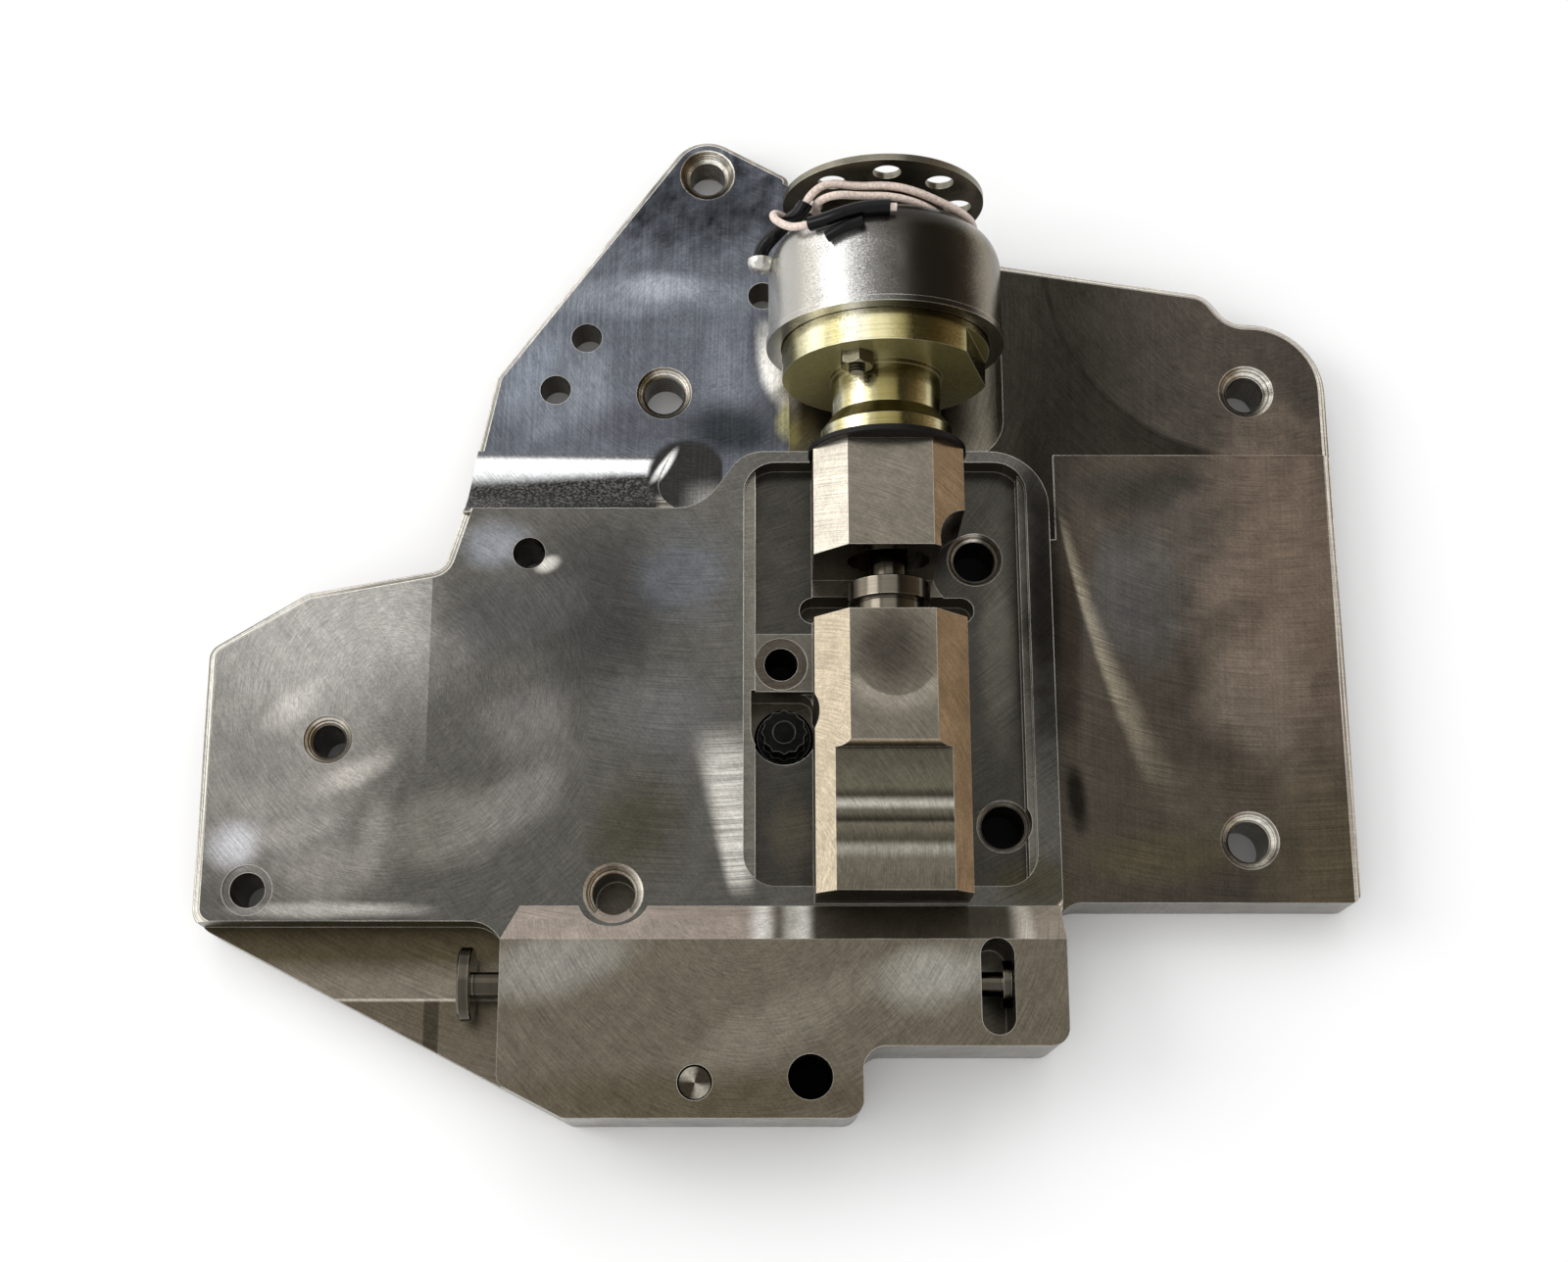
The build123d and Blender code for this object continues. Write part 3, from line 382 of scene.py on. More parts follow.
def away(tree, coordinates, centre, radii=(1000, 1000), turn=0.0):
    """Gives how far a point is from a centre in plan, in units of the radii, all in millimetres."""
    mapping = tree.nodes.new("ShaderNodeMapping")
    mapping.vector_type = "TEXTURE"
    mapping.inputs["Location"].default_value = (centre[0] / 1000, centre[1] / 1000, 0)
    mapping.inputs["Rotation"].default_value = (0, 0, radians(turn))
    mapping.inputs["Scale"].default_value = (radii[0] / 1000, radii[1] / 1000, 1000)
    tree.links.new(coordinates, mapping.inputs["Vector"])
    length = tree.nodes.new("ShaderNodeVectorMath")
    length.operation = "LENGTH"
    tree.links.new(mapping.outputs[0], length.inputs[0])
    return length.outputs["Value"]


def surface(tree, shader, color, roughness, height, strength, distance=0.0001):
    """Gives a surface its colour, its roughness and the fine bumps of a height."""
    feed(tree, color, shader.inputs["Base Color"])
    feed(tree, roughness, shader.inputs["Roughness"])
    bump = tree.nodes.new("ShaderNodeBump")
    bump.inputs["Strength"].default_value = strength
    bump.inputs["Distance"].default_value = distance
    tree.links.new(height, bump.inputs["Height"])
    tree.links.new(bump.outputs[0], shader.inputs["Normal"])


def edges(tree, radius):
    """Gives 1 along sharp edges and 0 elsewhere, from how a bevel would turn the surface."""
    bevel = tree.nodes.new("ShaderNodeBevel")
    bevel.samples = 4
    bevel.inputs["Radius"].default_value = radius
    flat = tree.nodes.new("ShaderNodeNewGeometry").outputs["True Normal"]
    likeness = tree.nodes.new("ShaderNodeVectorMath")
    likeness.operation = "DOT_PRODUCT"
    tree.links.new(bevel.outputs[0], likeness.inputs[0])
    tree.links.new(flat, likeness.inputs[1])
    return fade(tree, likeness.outputs["Value"], 0.99, 0.88)


print("place and pattern helpers are ready")

# %% [markdown]
# The plate is aluminium, milled in steps. Each face was cut by a pass of its
# own, so each has its own shade of grey, and the reflection of the room that
# the face shows is painted into that shade too. The shade is picked by the
# height of the face in millimetres, with a colour ramp that jumps from one
# level to the next. Faces that get marks of their own below are named here,
# each by its lowest and highest height and the softness of its ends, in metres.

# %% Shades of the milled levels
ramp_height = 50
# Each level's grey, with the painted reflection of the room in it
level_shades = [
    (0.0, (122, 116, 102)),
    (4.0, (70, 66, 58)),
    (10.5, (86, 89, 95)),
    (11.2, (88, 80, 62)),
    (12.8, (60, 58, 53)),
    (14.5, (84, 79, 70)),
    (15.2, (44, 41, 36)),
    (15.7, (72, 66, 58)),
    (16.5, (92, 88, 80)),
    (17.8, (104, 101, 93)),
    (19.6, (86, 84, 79)),
    (25.0, (106, 99, 86)),
    (38.0, (104, 98, 84)),
    (41.0, (110, 104, 93)),
]
upper_face = (0.0104, 0.0112, 0.0003)
pocket_floor = (0.0113, 0.0118, 0.0001)
both_right_faces = (0.0152, 0.0165, 0.0003)
right_face = (0.0157, 0.0163, 0.0003)
middle_face = (0.0200, 0.0210, 0.0003)
scoop_floor = (0.0393, 0.0401, 0.0001)
boss_top = (0.0425, 0.0435, 0.0001)


def shade_ramp(tree, value, stops, way="CONSTANT"):
    """Gives the colour that a list of places and screen colours has at a value."""
    ramp = tree.nodes.new("ShaderNodeValToRGB")
    ramp.color_ramp.interpolation = way
    tree.links.new(value, ramp.inputs[0])
    elements = ramp.color_ramp.elements
    elements.remove(elements[1])
    elements[0].position = stops[0][0]
    elements[0].color = screen(*stops[0][1])
    for position, shade in stops[1:]:
        elements.new(position).color = screen(*shade)
    return ramp.outputs[0]


def bands(tree, value, start, end, shades, way):
    """Gives the shade at a value, from a ramp that is laid between a start and an end."""
    return shade_ramp(tree, straight(tree, value, start, end), shades, way)


def level_color(tree, z):
    """Gives the shade of a level face from its height."""
    stops = [(height / ramp_height, shade) for height, shade in level_shades]
    return shade_ramp(tree, reckon(tree, "DIVIDE", z, ramp_height / 1000), stops)


print(len(level_shades), "shades for the levels")

# %% [markdown]
# A milled face is never one even grey. Soft patches stay lighter or darker,
# partly as uneven tone where the cutter turned, where it was wiped or handled
# and where the polish is better, and partly as painted reflections, highlights
# and shade, such as the bright reflection beside can and flange and the yellow
# light that the flange throws on the plate. They are painted as soft ellipses,
# each with its centre, its two radii and its turn, in millimetres and degrees,
# with its own shade, and with a strength from 0 to 1. First come those of the
# upper left face, then those of the middle face.

# %% Soft patches on the left
# Uneven tone mixed with painted reflections, highlights and shade
patches = [
    ((-20, 105), (36, 19), 0, (44, 46, 50), 0.85),
    ((-40, 79), (44, 7), 0, (128, 132, 139), 0.5),
    ((-27, 81), (14, 5), 0, (160, 164, 171), 0.45),
    ((-46, 54), (8, 15), -10, (134, 139, 146), 0.5),
    ((-60, 58), (8, 20), -28, (134, 140, 150), 0.5),
    ((-12, 58), (9, 16), 0, (112, 115, 123), 0.5),
    ((-33, 44), (22, 7), 0, (70, 71, 76), 0.6),
    ((-12, 43.5), (15, 10), 0, (34, 37, 39), 0.85),
    ((-56, 47), (9, 8), 0, (124, 129, 138), 0.5),
    # Painted highlights beside the can and flange, and the yellow light the flange throws
    ((-2.2, 61.5), (3.8, 12), 8, (246, 243, 236), 0.95),
    ((1.8, 54), (4.5, 9), 8, (236, 233, 228), 0.85),
    ((2.5, 46), (4, 6), 0, (205, 200, 150), 0.7),
    ((-114, -44), (32, 36), 0, (138, 134, 129), 0.9),
    ((-102, -12), (34, 24), 10, (150, 147, 143), 0.8),
    ((-112, -28), (11, 5), 45, (202, 197, 189), 0.55),
    ((-96.5, -43.5), (12, 4.5), 25, (196, 190, 181), 0.6),
    ((-88, -20), (8, 7), 0, (98, 93, 89), 0.45),
    ((-123, -60), (7, 8), -35, (200, 200, 204), 0.7),
    ((-110, -57), (12, 4), 15, (160, 155, 149), 0.4),
    ((-92, -58), (5, 12), -8, (158, 154, 146), 0.45),
    ((-76, -56), (20, 11), 20, (130, 126, 117), 0.6),
    ((-100, -74.6), (28, 2.4), 0, (196, 193, 185), 0.6),
    ((-67, 11), (10, 8), 20, (150, 154, 162), 0.55),
    ((-54, 6.5), (3.6, 2.2), 25, (238, 234, 224), 0.8),
    ((-49, -2), (7, 9), -20, (126, 126, 127), 0.4),
    ((-40, -3), (22, 30), -6, (50, 49, 49), 0.7),
    ((-66, -6), (15, 13), 0, (72, 72, 74), 0.5),
    ((-58, -32), (14, 12), 20, (124, 121, 118), 0.5),
    ((-30, -28), (18, 12), 10, (106, 105, 104), 0.4),
    ((-22, 4), (15, 15), 0, (92, 95, 101), 0.6),
    ((-121, -38), (13, 14), 0, (104, 100, 97), 0.6),
    ((-102, -67), (18, 8), 0, (150, 144, 138), 0.45),
    ((-22, -30), (12, 16), 0, (98, 98, 99), 0.4),
    ((-60, -50), (24, 9), 42, (134, 131, 126), 0.6),
    ((-33, -56), (14, 18), 0, (72, 68, 56), 0.75),
]
print(len(patches), "soft patches on the left")

# %% [markdown]
# The faces on the right see the dark and brown side of the room, so their
# patches, which paint its reflection, are darker and warmer. The block's own
# patches come last. Each is mixed over those before it, and a noise makes its
# edge uneven.

# %% Soft patches on the right and on the block
patches += [
    # Painted reflections of the dark and brown side of the room
    ((62, 0), (10, 60), 0, (22, 20, 16), 0.95),
    ((68, 50), (12, 30), 0, (34, 31, 27), 0.6),
    ((95, 26), (40, 8), 0, (50, 48, 44), 0.7),
    ((84, 0), (14, 24), 0, (86, 88, 91), 0.4),
    ((100, 8), (20, 24), 0, (96, 90, 83), 0.45),
    ((122, 0), (28, 58), 0, (136, 118, 103), 0.6),
    ((112, -24), (18, 22), 0, (140, 128, 114), 0.35),
    ((104, -50), (26, 16), 0, (92, 85, 73), 0.5),
    ((126, -64), (20, 26), 0, (108, 97, 76), 0.6),
    ((58, -68), (12, 9), 0, (66, 60, 42), 0.7),
    ((68, -10), (3, 34), 0, (48, 41, 35), 0.8),
    ((68, -48), (3, 11), 5, (22, 20, 17), 0.9),
    ((86, -62), (26, 8), 0, (84, 78, 58), 0.6),
    ((51, -12), (5, 34), 0, (90, 87, 78), 0.6),
    ((3, -56), (7, 12), 0, (88, 81, 68), 0.5),
    ((25, -20), (13, 13), 0, (66, 61, 54), 0.95),
    ((34, -91), (18, 9), 10, (168, 165, 156), 0.7),
    ((-50, -88), (24, 9), 15, (160, 157, 150), 0.6),
    ((0, -101), (32, 8), 25, (140, 134, 120), 0.45),
    ((-20, -117), (60, 8), 0, (84, 76, 58), 0.7),
]


def paint_patches_and_reflections(tree, where, color, cloud):
    """Paints patches of tone and painted reflection over a colour, with edges made uneven by a noise."""
    wobble = reckon(tree, "MULTIPLY_ADD", cloud, 0.8, -0.4)
    for centre, radii, turn, shade, strength in patches:
        far = reckon(tree, "ADD", away(tree, where, centre, radii, turn), wobble)
        color = mix(tree, fade(tree, far, 1.05, 0.25, 0, strength), color, screen(*shade))
    return color


print(len(patches), "soft patches in all")

# %% [markdown]
# Some places need more than an ellipse. The long cove between the upper face
# and the middle face has a painted highlight, a bright stripe that narrows to
# the right, and it ends in a bowl darkened by painted shade, with a painted
# highlight on its rim. The pocket in the lower left corner has painted shade
# at its wall and a bright line across. Each mark is kept inside its own face.
# Places are in metres, and only centres in millimetres.

# %% The cove, the bowl and the pocket
far_off = 0.2


def paint_cove(tree, x, y, z, color, speckle):
    """Paints the cove: dark above and below, with a painted highlight that narrows to the right."""
    bottom, top, low_side, high_side, right_end = 0.0113, 0.0202, 0.0197, 0.0379, -0.0285
    inside = times(tree, between(tree, z, bottom, top, 0.0002),
                   between(tree, x, -far_off, right_end, 0.001),
                   between(tree, y, low_side, high_side, 0.0002))
    taper = (-0.080, -0.026)
    half_width = fade(tree, x, *taper, 0.0044, 0.0024)
    down = minus(tree, fade(tree, x, *taper, 0.0335, 0.0340), y)
    across = reckon(tree, "DIVIDE", down, half_width)
    # The bright stripe across the cove is a painted highlight
    highlight_band = times(tree, fade(tree, across, -1.0, -0.35), fade(tree, across, 1.5, 0.3))
    dark = mix(tree, speckle, screen(50, 49, 48), screen(98, 96, 93))
    return mix(tree, inside, color, mix(tree, highlight_band, dark, screen(250, 251, 252)))


def paint_bowl(tree, where, x, y, z, color):
    """Paints the bowl at the cove's end in painted shade, with a painted highlight on its left rim."""
    bottom, top, left, right = 0.0106, 0.0203, -0.0315, -0.0135
    far = away(tree, where, (-22.0, 31.5))
    inside = times(tree, between(tree, z, bottom, top, 0.0002),
                   between(tree, x, left, right), fade(tree, far, 0.0105, 0.0085),
                   fade(tree, y, 0.0225, 0.0245))
    # The bowl's painted shade, lighter towards its lower right
    lower_right = times(tree, fade(tree, y, 0.0320, 0.0245), fade(tree, x, -0.0250, -0.0170), 0.7)
    tone = mix(tree, lower_right, screen(46, 45, 44), screen(150, 148, 144))
    # Painted highlight on the bowl's rim
    brim_highlight = away(tree, where, (-27.6, 33.8), (6.5, 1.4), 58)
    tone = mix(tree, fade(tree, brim_highlight, 1.1, 0.3), tone, screen(240, 240, 237))
    return mix(tree, inside, color, tone)


def paint_pocket(tree, x, y, z, color):
    """Paints the corner pocket: painted shade at its wall, lighter below, with a bright line across."""
    wall, far_corner = -0.0745, -0.1160
    inside = times(tree, between(tree, z, *pocket_floor), fade(tree, y, wall + 0.0005, wall))
    shades = [(0.0, (60, 54, 40)), (0.23, (76, 69, 53)), (0.29, (98, 91, 78)), (0.36, (118, 110, 97)),
              (0.44, (122, 114, 101)), (0.452, (116, 108, 95)), (0.460, (186, 179, 165)),
              (0.464, (180, 173, 159)), (0.474, (92, 84, 70)), (1.0, (110, 103, 90))]
    # Painted shade by the wall, lighter further from it
    tone = bands(tree, y, wall, far_corner, shades, "LINEAR")
    stripe = times(tree, between(tree, x, -0.0802, -0.0768), fade(tree, y, -0.0935, -0.0945), 0.7)
    return mix(tree, inside, color, mix(tree, stripe, tone, screen(44, 38, 30)))


print("cove, bowl and pocket helpers are ready")

# %% [markdown]
# The left wing was milled apart from the rest of its face, up to a line, and
# the upper right face was skimmed with a large round cutter, which left an
# arc. A curved streak of light, a painted highlight of what the milled arcs
# reflect, lies on the right face, and a flare that tapers to a point, another
# painted highlight, lies beside the recess.

# %% The wing, the arc, the streak and the flare
def paint_wing(tree, x, y, z, color):
    """Lightens the wing of the middle face, left of the line where its own pass ended."""
    wing_line = -0.0808
    inside = times(tree, between(tree, z, *middle_face), between(tree, x, -far_off, wing_line, 0.00015))
    amount = times(tree, inside, fade(tree, y, -0.050, -0.005, 0.0, 0.40))
    return mix(tree, amount, color, screen(178, 175, 170))


def paint_arc(tree, where, x, y, color):
    """Lightens the upper right face inside the arc of the large cutter."""
    radius, step = 0.0500, 0.0342
    far = away(tree, where, (115, 84.5))
    above = between(tree, y, step, far_off)
    inside = times(tree, fade(tree, far, radius + 0.0004, radius - 0.0004), above,
                   fade(tree, x, 0.066, 0.112), 0.55)
    lighter = mix(tree, inside, color, screen(92, 85, 77))
    line = times(tree, between(tree, far, radius - 0.0008, radius + 0.0004, 0.0004), above, 0.5)
    return mix(tree, line, lighter, screen(26, 24, 21))


def paint_streak(tree, x, y, z, color, lines):
    """Paints the curved streak on the right face, a painted highlight, with scratches in it."""
    top, start = 0.0235, 0.0659
    down = minus(tree, top, y)
    slant = reckon(tree, "MULTIPLY_ADD", down, 1.9, 0.155)
    aside = minus(tree, x, reckon(tree, "MULTIPLY_ADD", slant, down, start))
    grown = straight(tree, y, 0.030, -0.050)
    width = reckon(tree, "MULTIPLY_ADD", times(tree, grown, grown), 0.0036, 0.0009)
    across = reckon(tree, "DIVIDE", aside, width)
    # The streak is a painted highlight
    highlight_band = times(tree, fade(tree, across, -0.7, 0.2), fade(tree, across, 2.6, 0.0),
                 fade(tree, y, 0.027, 0.005), fade(tree, y, -0.054, -0.022),
                 between(tree, z, *right_face), fade(tree, lines, 0.3, 0.65, 0.55, 1.0), 0.52)
    return mix(tree, highlight_band, color, screen(176, 167, 144))


def paint_flare(tree, x, y, z, color, lines):
    """Paints the flare beside the recess, a painted highlight that tapers to a point at its lower end."""
    top, top_left, right = -0.039, -0.0205, -0.0080
    left = reckon(tree, "MULTIPLY_ADD", minus(tree, top, y), 0.26, top_left)
    across = reckon(tree, "DIVIDE", minus(tree, x, left), minus(tree, right, left))
    # The flare is a painted highlight
    highlight_band = times(tree, fade(tree, across, 0.0, 0.45), fade(tree, across, 1.4, 0.75, 0.45, 1.0),
                 fade(tree, x, right + 0.003, right + 0.001), fade(tree, y, -0.030, -0.045),
                 fade(tree, y, -0.073, -0.066), between(tree, z, *middle_face),
                 fade(tree, lines, 0.3, 0.65, 0.6, 1.0), 0.9)
    return mix(tree, highlight_band, color, screen(212, 208, 199))


print("wing, arc, streak and flare helpers are ready")

# %% [markdown]
# The flat in the lower boss has light and dark bands side by side, and the
# top of that boss has the half moon of a cutter. The slope behind the block
# mirrors what stands over it, in upright bands of painted reflection. A ramp
# along one way paints each.

# %% The scoop, the slope and the half moon
def paint_scoop(tree, y, z, color):
    """Paints light and dark bands along the scoop of the lower boss."""
    upper, lower = -0.0405, -0.0733
    inside = times(tree, between(tree, z, *scoop_floor), between(tree, y, lower - 0.0002, upper + 0.0003))
    shades = [(0.0, (58, 54, 46)), (0.08, (82, 78, 66)), (0.30, (96, 92, 78)), (0.36, (66, 62, 52)),
              (0.42, (176, 172, 160)), (0.47, (96, 92, 80)), (0.53, (52, 48, 40)), (0.56, (104, 98, 84)),
              (0.66, (78, 74, 62)), (0.72, (150, 146, 133)), (0.80, (108, 102, 90)), (1.0, (98, 93, 80))]
    return mix(tree, inside, color, bands(tree, y, upper, lower, shades, "EASE"))


def on_slope(tree, y, ny):
    """Gives 1 on the slope behind the block, which looks up and away from it."""
    return times(tree, between(tree, ny, 0.5, 0.95, 0.02), between(tree, y, -0.0830, -0.0737))


def paint_slope(tree, x, y, ny, color):
    """Paints the slope behind the block with the upright bands that it mirrors."""
    left, right = -0.062, 0.078
    shades = [(0.0, (172, 159, 148)), (0.385, (164, 151, 140)), (0.415, (246, 242, 234)),
              (0.44, (112, 104, 92)), (0.46, (204, 200, 190)), (0.48, (238, 234, 226)),
              (0.50, (84, 78, 68)), (0.56, (72, 66, 55)), (0.80, (74, 68, 56)),
              (0.83, (210, 202, 188)), (0.85, (154, 143, 128)), (1.0, (164, 151, 136))]
    return mix(tree, on_slope(tree, y, ny), color, bands(tree, x, left, right, shades, "EASE"))


def paint_half_moon(tree, where, y, z, color):
    """Paints the half moon that a cutter left on top of the lower boss."""
    far = away(tree, where, (25.6, -21.5))
    inside = times(tree, between(tree, z, *boss_top), between(tree, y, -0.045, -0.0265, 0.002),
                   fade(tree, far, 0.0091, 0.0095), fade(tree, far, 0.0145, 0.0105), 0.55)
    return mix(tree, inside, color, screen(156, 150, 136))


print("scoop, slope and half moon helpers are ready")

# %% [markdown]
# The tool marks are far finer than the patches. A face mill leaves arcs, and
# a hole that is tapped has thread turns. The arcs are a noise on the distance
# and the direction from the cutter's centre, so its spots are drawn out round
# that centre. The turns are a sine of the height and of the way round the
# hole's axis, so they climb as a thread does.

# %% Tool marks
def pick(tree, mask, first, second):
    """Gives the first number where a mask is 0 and the second where it is 1."""
    return reckon(tree, "MULTIPLY_ADD", mask, minus(tree, second, first), first)


def cutter_arcs(tree, x, y, z):
    """Gives fine arcs round where the cutter's centre was for each face."""
    left_half = times(tree, fade(tree, x, -0.0440, -0.0446), between(tree, z, *middle_face))
    block = fade(tree, z, 0.0240, 0.0242)
    right = times(tree, fade(tree, x, 0.0640, 0.0642), fade(tree, z, 0.0200, 0.0198))
    centre_x, centre_y = -0.019, 0.070
    centres = [(left_half, -0.088, -0.025), (block, -0.007, -0.067), (right, 0.115, 0.0845)]
    for mask, own_x, own_y in centres:
        centre_x = pick(tree, mask, centre_x, own_x)
        centre_y = pick(tree, mask, centre_y, own_y)
    across = minus(tree, x, centre_x)
    up = minus(tree, y, centre_y)
    length = reckon(tree, "SQRT", reckon(tree, "MULTIPLY_ADD", across, across, times(tree, up, up)))
    arcs_per_metre, spots_round = 4500, 7
    drawn = tree.nodes.new("ShaderNodeCombineXYZ")
    tree.links.new(times(tree, length, arcs_per_metre), drawn.inputs[0])
    tree.links.new(times(tree, reckon(tree, "ARCTAN2", up, across), spots_round), drawn.inputs[1])
    return grain(tree, drawn.outputs[0], 1)


def thread_turns(tree, where, x, y, z, centre, radius, pitch):
    """Gives the turns of a thread on a hole's wall, and 0 elsewhere, in millimetres."""
    near = fade(tree, away(tree, where, centre), (radius + 0.35) / 1000, (radius + 0.25) / 1000)
    side = reckon(tree, "ARCTAN2", minus(tree, y, centre[1] / 1000), minus(tree, x, centre[0] / 1000))
    climb = reckon(tree, "MULTIPLY_ADD", z, 2 * pi * 1000 / pitch, side)
    return times(tree, near, reckon(tree, "MULTIPLY_ADD", reckon(tree, "SINE", climb), 0.5, 0.5))


print("tool mark helpers are ready")

# %% [markdown]
# Slanted faces and walls look another way than the level ones, and their
# light and shade are painted by the way they face: those that face left are
# lit, and those that face right are darker, in painted shade and a brown
# painted reflection. The countersinks of the holes show rings from the tool
# that cut them.

# %% Shades of slanted faces and walls
def side_light_and_shade(tree, y, z, nx, nz, rings):
    """Gives the painted light and shade of a face that isn't level, from the way it faces."""
    lower_boss = times(tree, fade(tree, z, 0.024, 0.026), fade(tree, y, 0.0, -0.008))
    # Painted light on faces that face left, less on the lower boss
    lit_left_faces = mix(tree, lower_boss, screen(196, 190, 178), screen(172, 161, 142))
    # Painted shade and brown reflection on faces that face right
    slanted = mix(tree, fade(tree, nx, -0.35, 0.35), lit_left_faces, screen(146, 123, 95))
    rim = mix(tree, fade(tree, rings, 0.36, 0.62), screen(52, 48, 41), screen(250, 247, 238))
    below_bosses = fade(tree, z, 0.0215, 0.0205)
    slanted = mix(tree, times(tree, below_bosses, 0.62), slanted, rim)
    # Walls: painted light where they face left, painted shade where they face right
    wall = mix(tree, fade(tree, nx, -0.5, 0.5), screen(126, 121, 110), screen(84, 76, 64))
    return mix(tree, fade(tree, nz, 0.15, 0.45), wall, slanted)


print("side shades are ready")

# %% [markdown]
# Now the plate's finish is put together. The shades of its levels come
# first, then the patches, painted highlights and shade and marks on them,
# then the painted light and shade of the slanted faces. Over all of it lie
# the fine lines of cutter and brush, the painted shade of the thread turns in
# the two tapped holes, and edges painted bright, for wear and as a painted
# glint. The slope is less metallic than the rest, so that its painted bands
# show as they are.

# %% Milled aluminium
tapped_holes = [((-27.8, 53.1), 4.75, 1.25), ((0.4, -16.8), 3.9, 1.0)]


def milled_aluminium():
    """Grey milled aluminium: shades, patches, painted light and shade, tool marks and bright edges."""
    tree, shader = start_finish("milled_aluminium", screen(120, 116, 108), 1.0, 0.3)
    where, x, y, z = place(tree)
    nx, ny, nz = facing(tree)
    cloud = grain(tree, where, 75, detail=5)
    speckle = grain(tree, where, 1500)
    brush = grain(tree, where, 1900, (1, 0.02, 1), 1.5, 2)
    crossed = grain(tree, where, 3000, (1, 0.015, 1), -38, 2)
    mottled = grain(tree, where, 330, (1, 0.6, 1), 30, 4)
    rings = grain(tree, where, 2600, (0.006, 0.006, 1), 0, 1)
    marks = cutter_arcs(tree, x, y, z)

    tops = paint_arc(tree, where, x, y, level_color(tree, z))
    tops = paint_patches_and_reflections(tree, where, tops, cloud)
    tops = paint_wing(tree, x, y, z, tops)
    tops = paint_pocket(tree, x, y, z, tops)
    tops = paint_streak(tree, x, y, z, tops, marks)
    tops = paint_flare(tree, x, y, z, tops, marks)
    tops = paint_scoop(tree, y, z, tops)
    tops = paint_half_moon(tree, where, y, z, tops)
    color = mix(tree, fade(tree, nz, 0.93, 0.99), side_light_and_shade(tree, y, z, nx, nz, rings), tops)
    color = paint_slope(tree, x, y, ny, color)
    color = paint_cove(tree, x, y, z, color, fade(tree, speckle, 0.45, 0.62))
    color = paint_bowl(tree, where, x, y, z, color)

    right_faces = times(tree, between(tree, z, *both_right_faces), 0.4)
    brushed = reckon(tree, "ADD", between(tree, z, *upper_face), right_faces)
    mottle = times(tree, minus(tree, mottled, 0.5), fade(tree, y, 0.084, 0.098, 0.5, 2.6))
    shade = times(tree, vary(tree, marks, 0.78, 1.25, 0.25), vary(tree, speckle, 0.90, 1.10),
                  vary(tree, crossed, 0.93, 1.08, 0.25), reckon(tree, "ADD", mottle, 1),
                  pick(tree, brushed, 1.0, vary(tree, brush, 0.84, 1.18, 0.25)))
    color = shaded(tree, color, shade)

    turns = [thread_turns(tree, where, x, y, z, *hole) for hole in tapped_holes]
    turns = reckon(tree, "ADD", *turns)
    # Painted shade in the grooves of the thread turns
    color = mix(tree, times(tree, turns, 0.7), color, screen(40, 37, 32))
    # Edges painted bright, for wear and as a painted glint of their rounding
    worn_glinting_edges = times(tree, edges(tree, 0.00028), fade(tree, cloud, 0.35, 0.6, 0.35, 0.9))
    color = mix(tree, worn_glinting_edges, color, screen(222, 218, 208))
    tree.links.new(pick(tree, on_slope(tree, y, ny), 1.0, 0.4), shader.inputs["Metallic"])
    height = reckon(tree, "MULTIPLY_ADD", turns, -3.0, times(tree, speckle, 0.5))
    surface(tree, shader, color, vary(tree, cloud, 0.24, 0.34), height, 0.10)


milled_aluminium()
print("the plate's finish has", len(finishes["milled_aluminium"].node_tree.nodes), "nodes")

# %% [markdown]
# The bolt is blackened steel, the end disc is dark plated steel, and rod,
# stem, spool, spring, nut and cores are bare steel. One function makes all of
# them, each with its own colour, gloss and grain. Rod and spool were turned,
# so they have fine rings, which a noise along their axis gives.

# %% Steels
even, along_x, along_y = (1, 1, 1), (1, 0.02, 0.02), (0.02, 1, 0.02)
steels = [
    ("black_steel", (20, 20, 19), 0.32, 0.3, 1500, 0.2, (128, 126, 120), even),
    ("ground_steel", (128, 122, 112), 0.2, 0.15, 2400, 0.06, (226, 222, 212), even),
    ("dark_bronze", (124, 120, 106), 0.34, 0.22, 2200, 0.15, (206, 202, 188), even),
    ("turned_steel", (74, 69, 60), 0.16, 0.16, 2200, 0.06, (190, 185, 174), along_x),
    ("valve_steel", (98, 92, 82), 0.2, 0.12, 2200, 0.06, (210, 205, 194), along_y),
    ("nut_steel", (112, 107, 88), 0.3, 0.25, 1800, 0.15, (196, 190, 168), even),
]


def steel(name, shade_on_screen, roughness, spread, grain_size, bump, edge_shade, rings):
    """A steel finish: base colour, cloudy wear, fine grain or rings, edges painted light for wear and
    glint.
    """
    color = screen(*shade_on_screen)
    tree, shader = start_finish(name, color, 1.0, roughness)
    where = place(tree)[0]
    cloud = grain(tree, where, 120, detail=4)
    fine = grain(tree, where, grain_size, rings, detail=2)
    shade = times(tree, vary(tree, cloud, 1 - spread, 1 + spread),
                  vary(tree, fine, 1 - spread / 2, 1 + spread / 2))
    # Edges painted lighter, for wear and as a painted glint
    edge = times(tree, edges(tree, 0.0003), 0.7)
    color = mix(tree, edge, shaded(tree, color, shade), screen(*edge_shade))
    surface(tree, shader, color, vary(tree, cloud, roughness * 0.8, roughness * 1.2), fine, bump)


for looks in steels:
    steel(*looks)
print(len(finishes), "finishes so far")

# %% [markdown]
# The solenoid's can is bright plated steel with an orange peel grain. As on
# every shiny drum, its look changes round it, and that light and shade is
# painted into its colour: light on the left, where the light comes from, and
# dark on the upper right. The tone is picked by how far a point is turned
# round the can, and a fine noise breaks it up, which gives the speckled seam
# between light and dark.

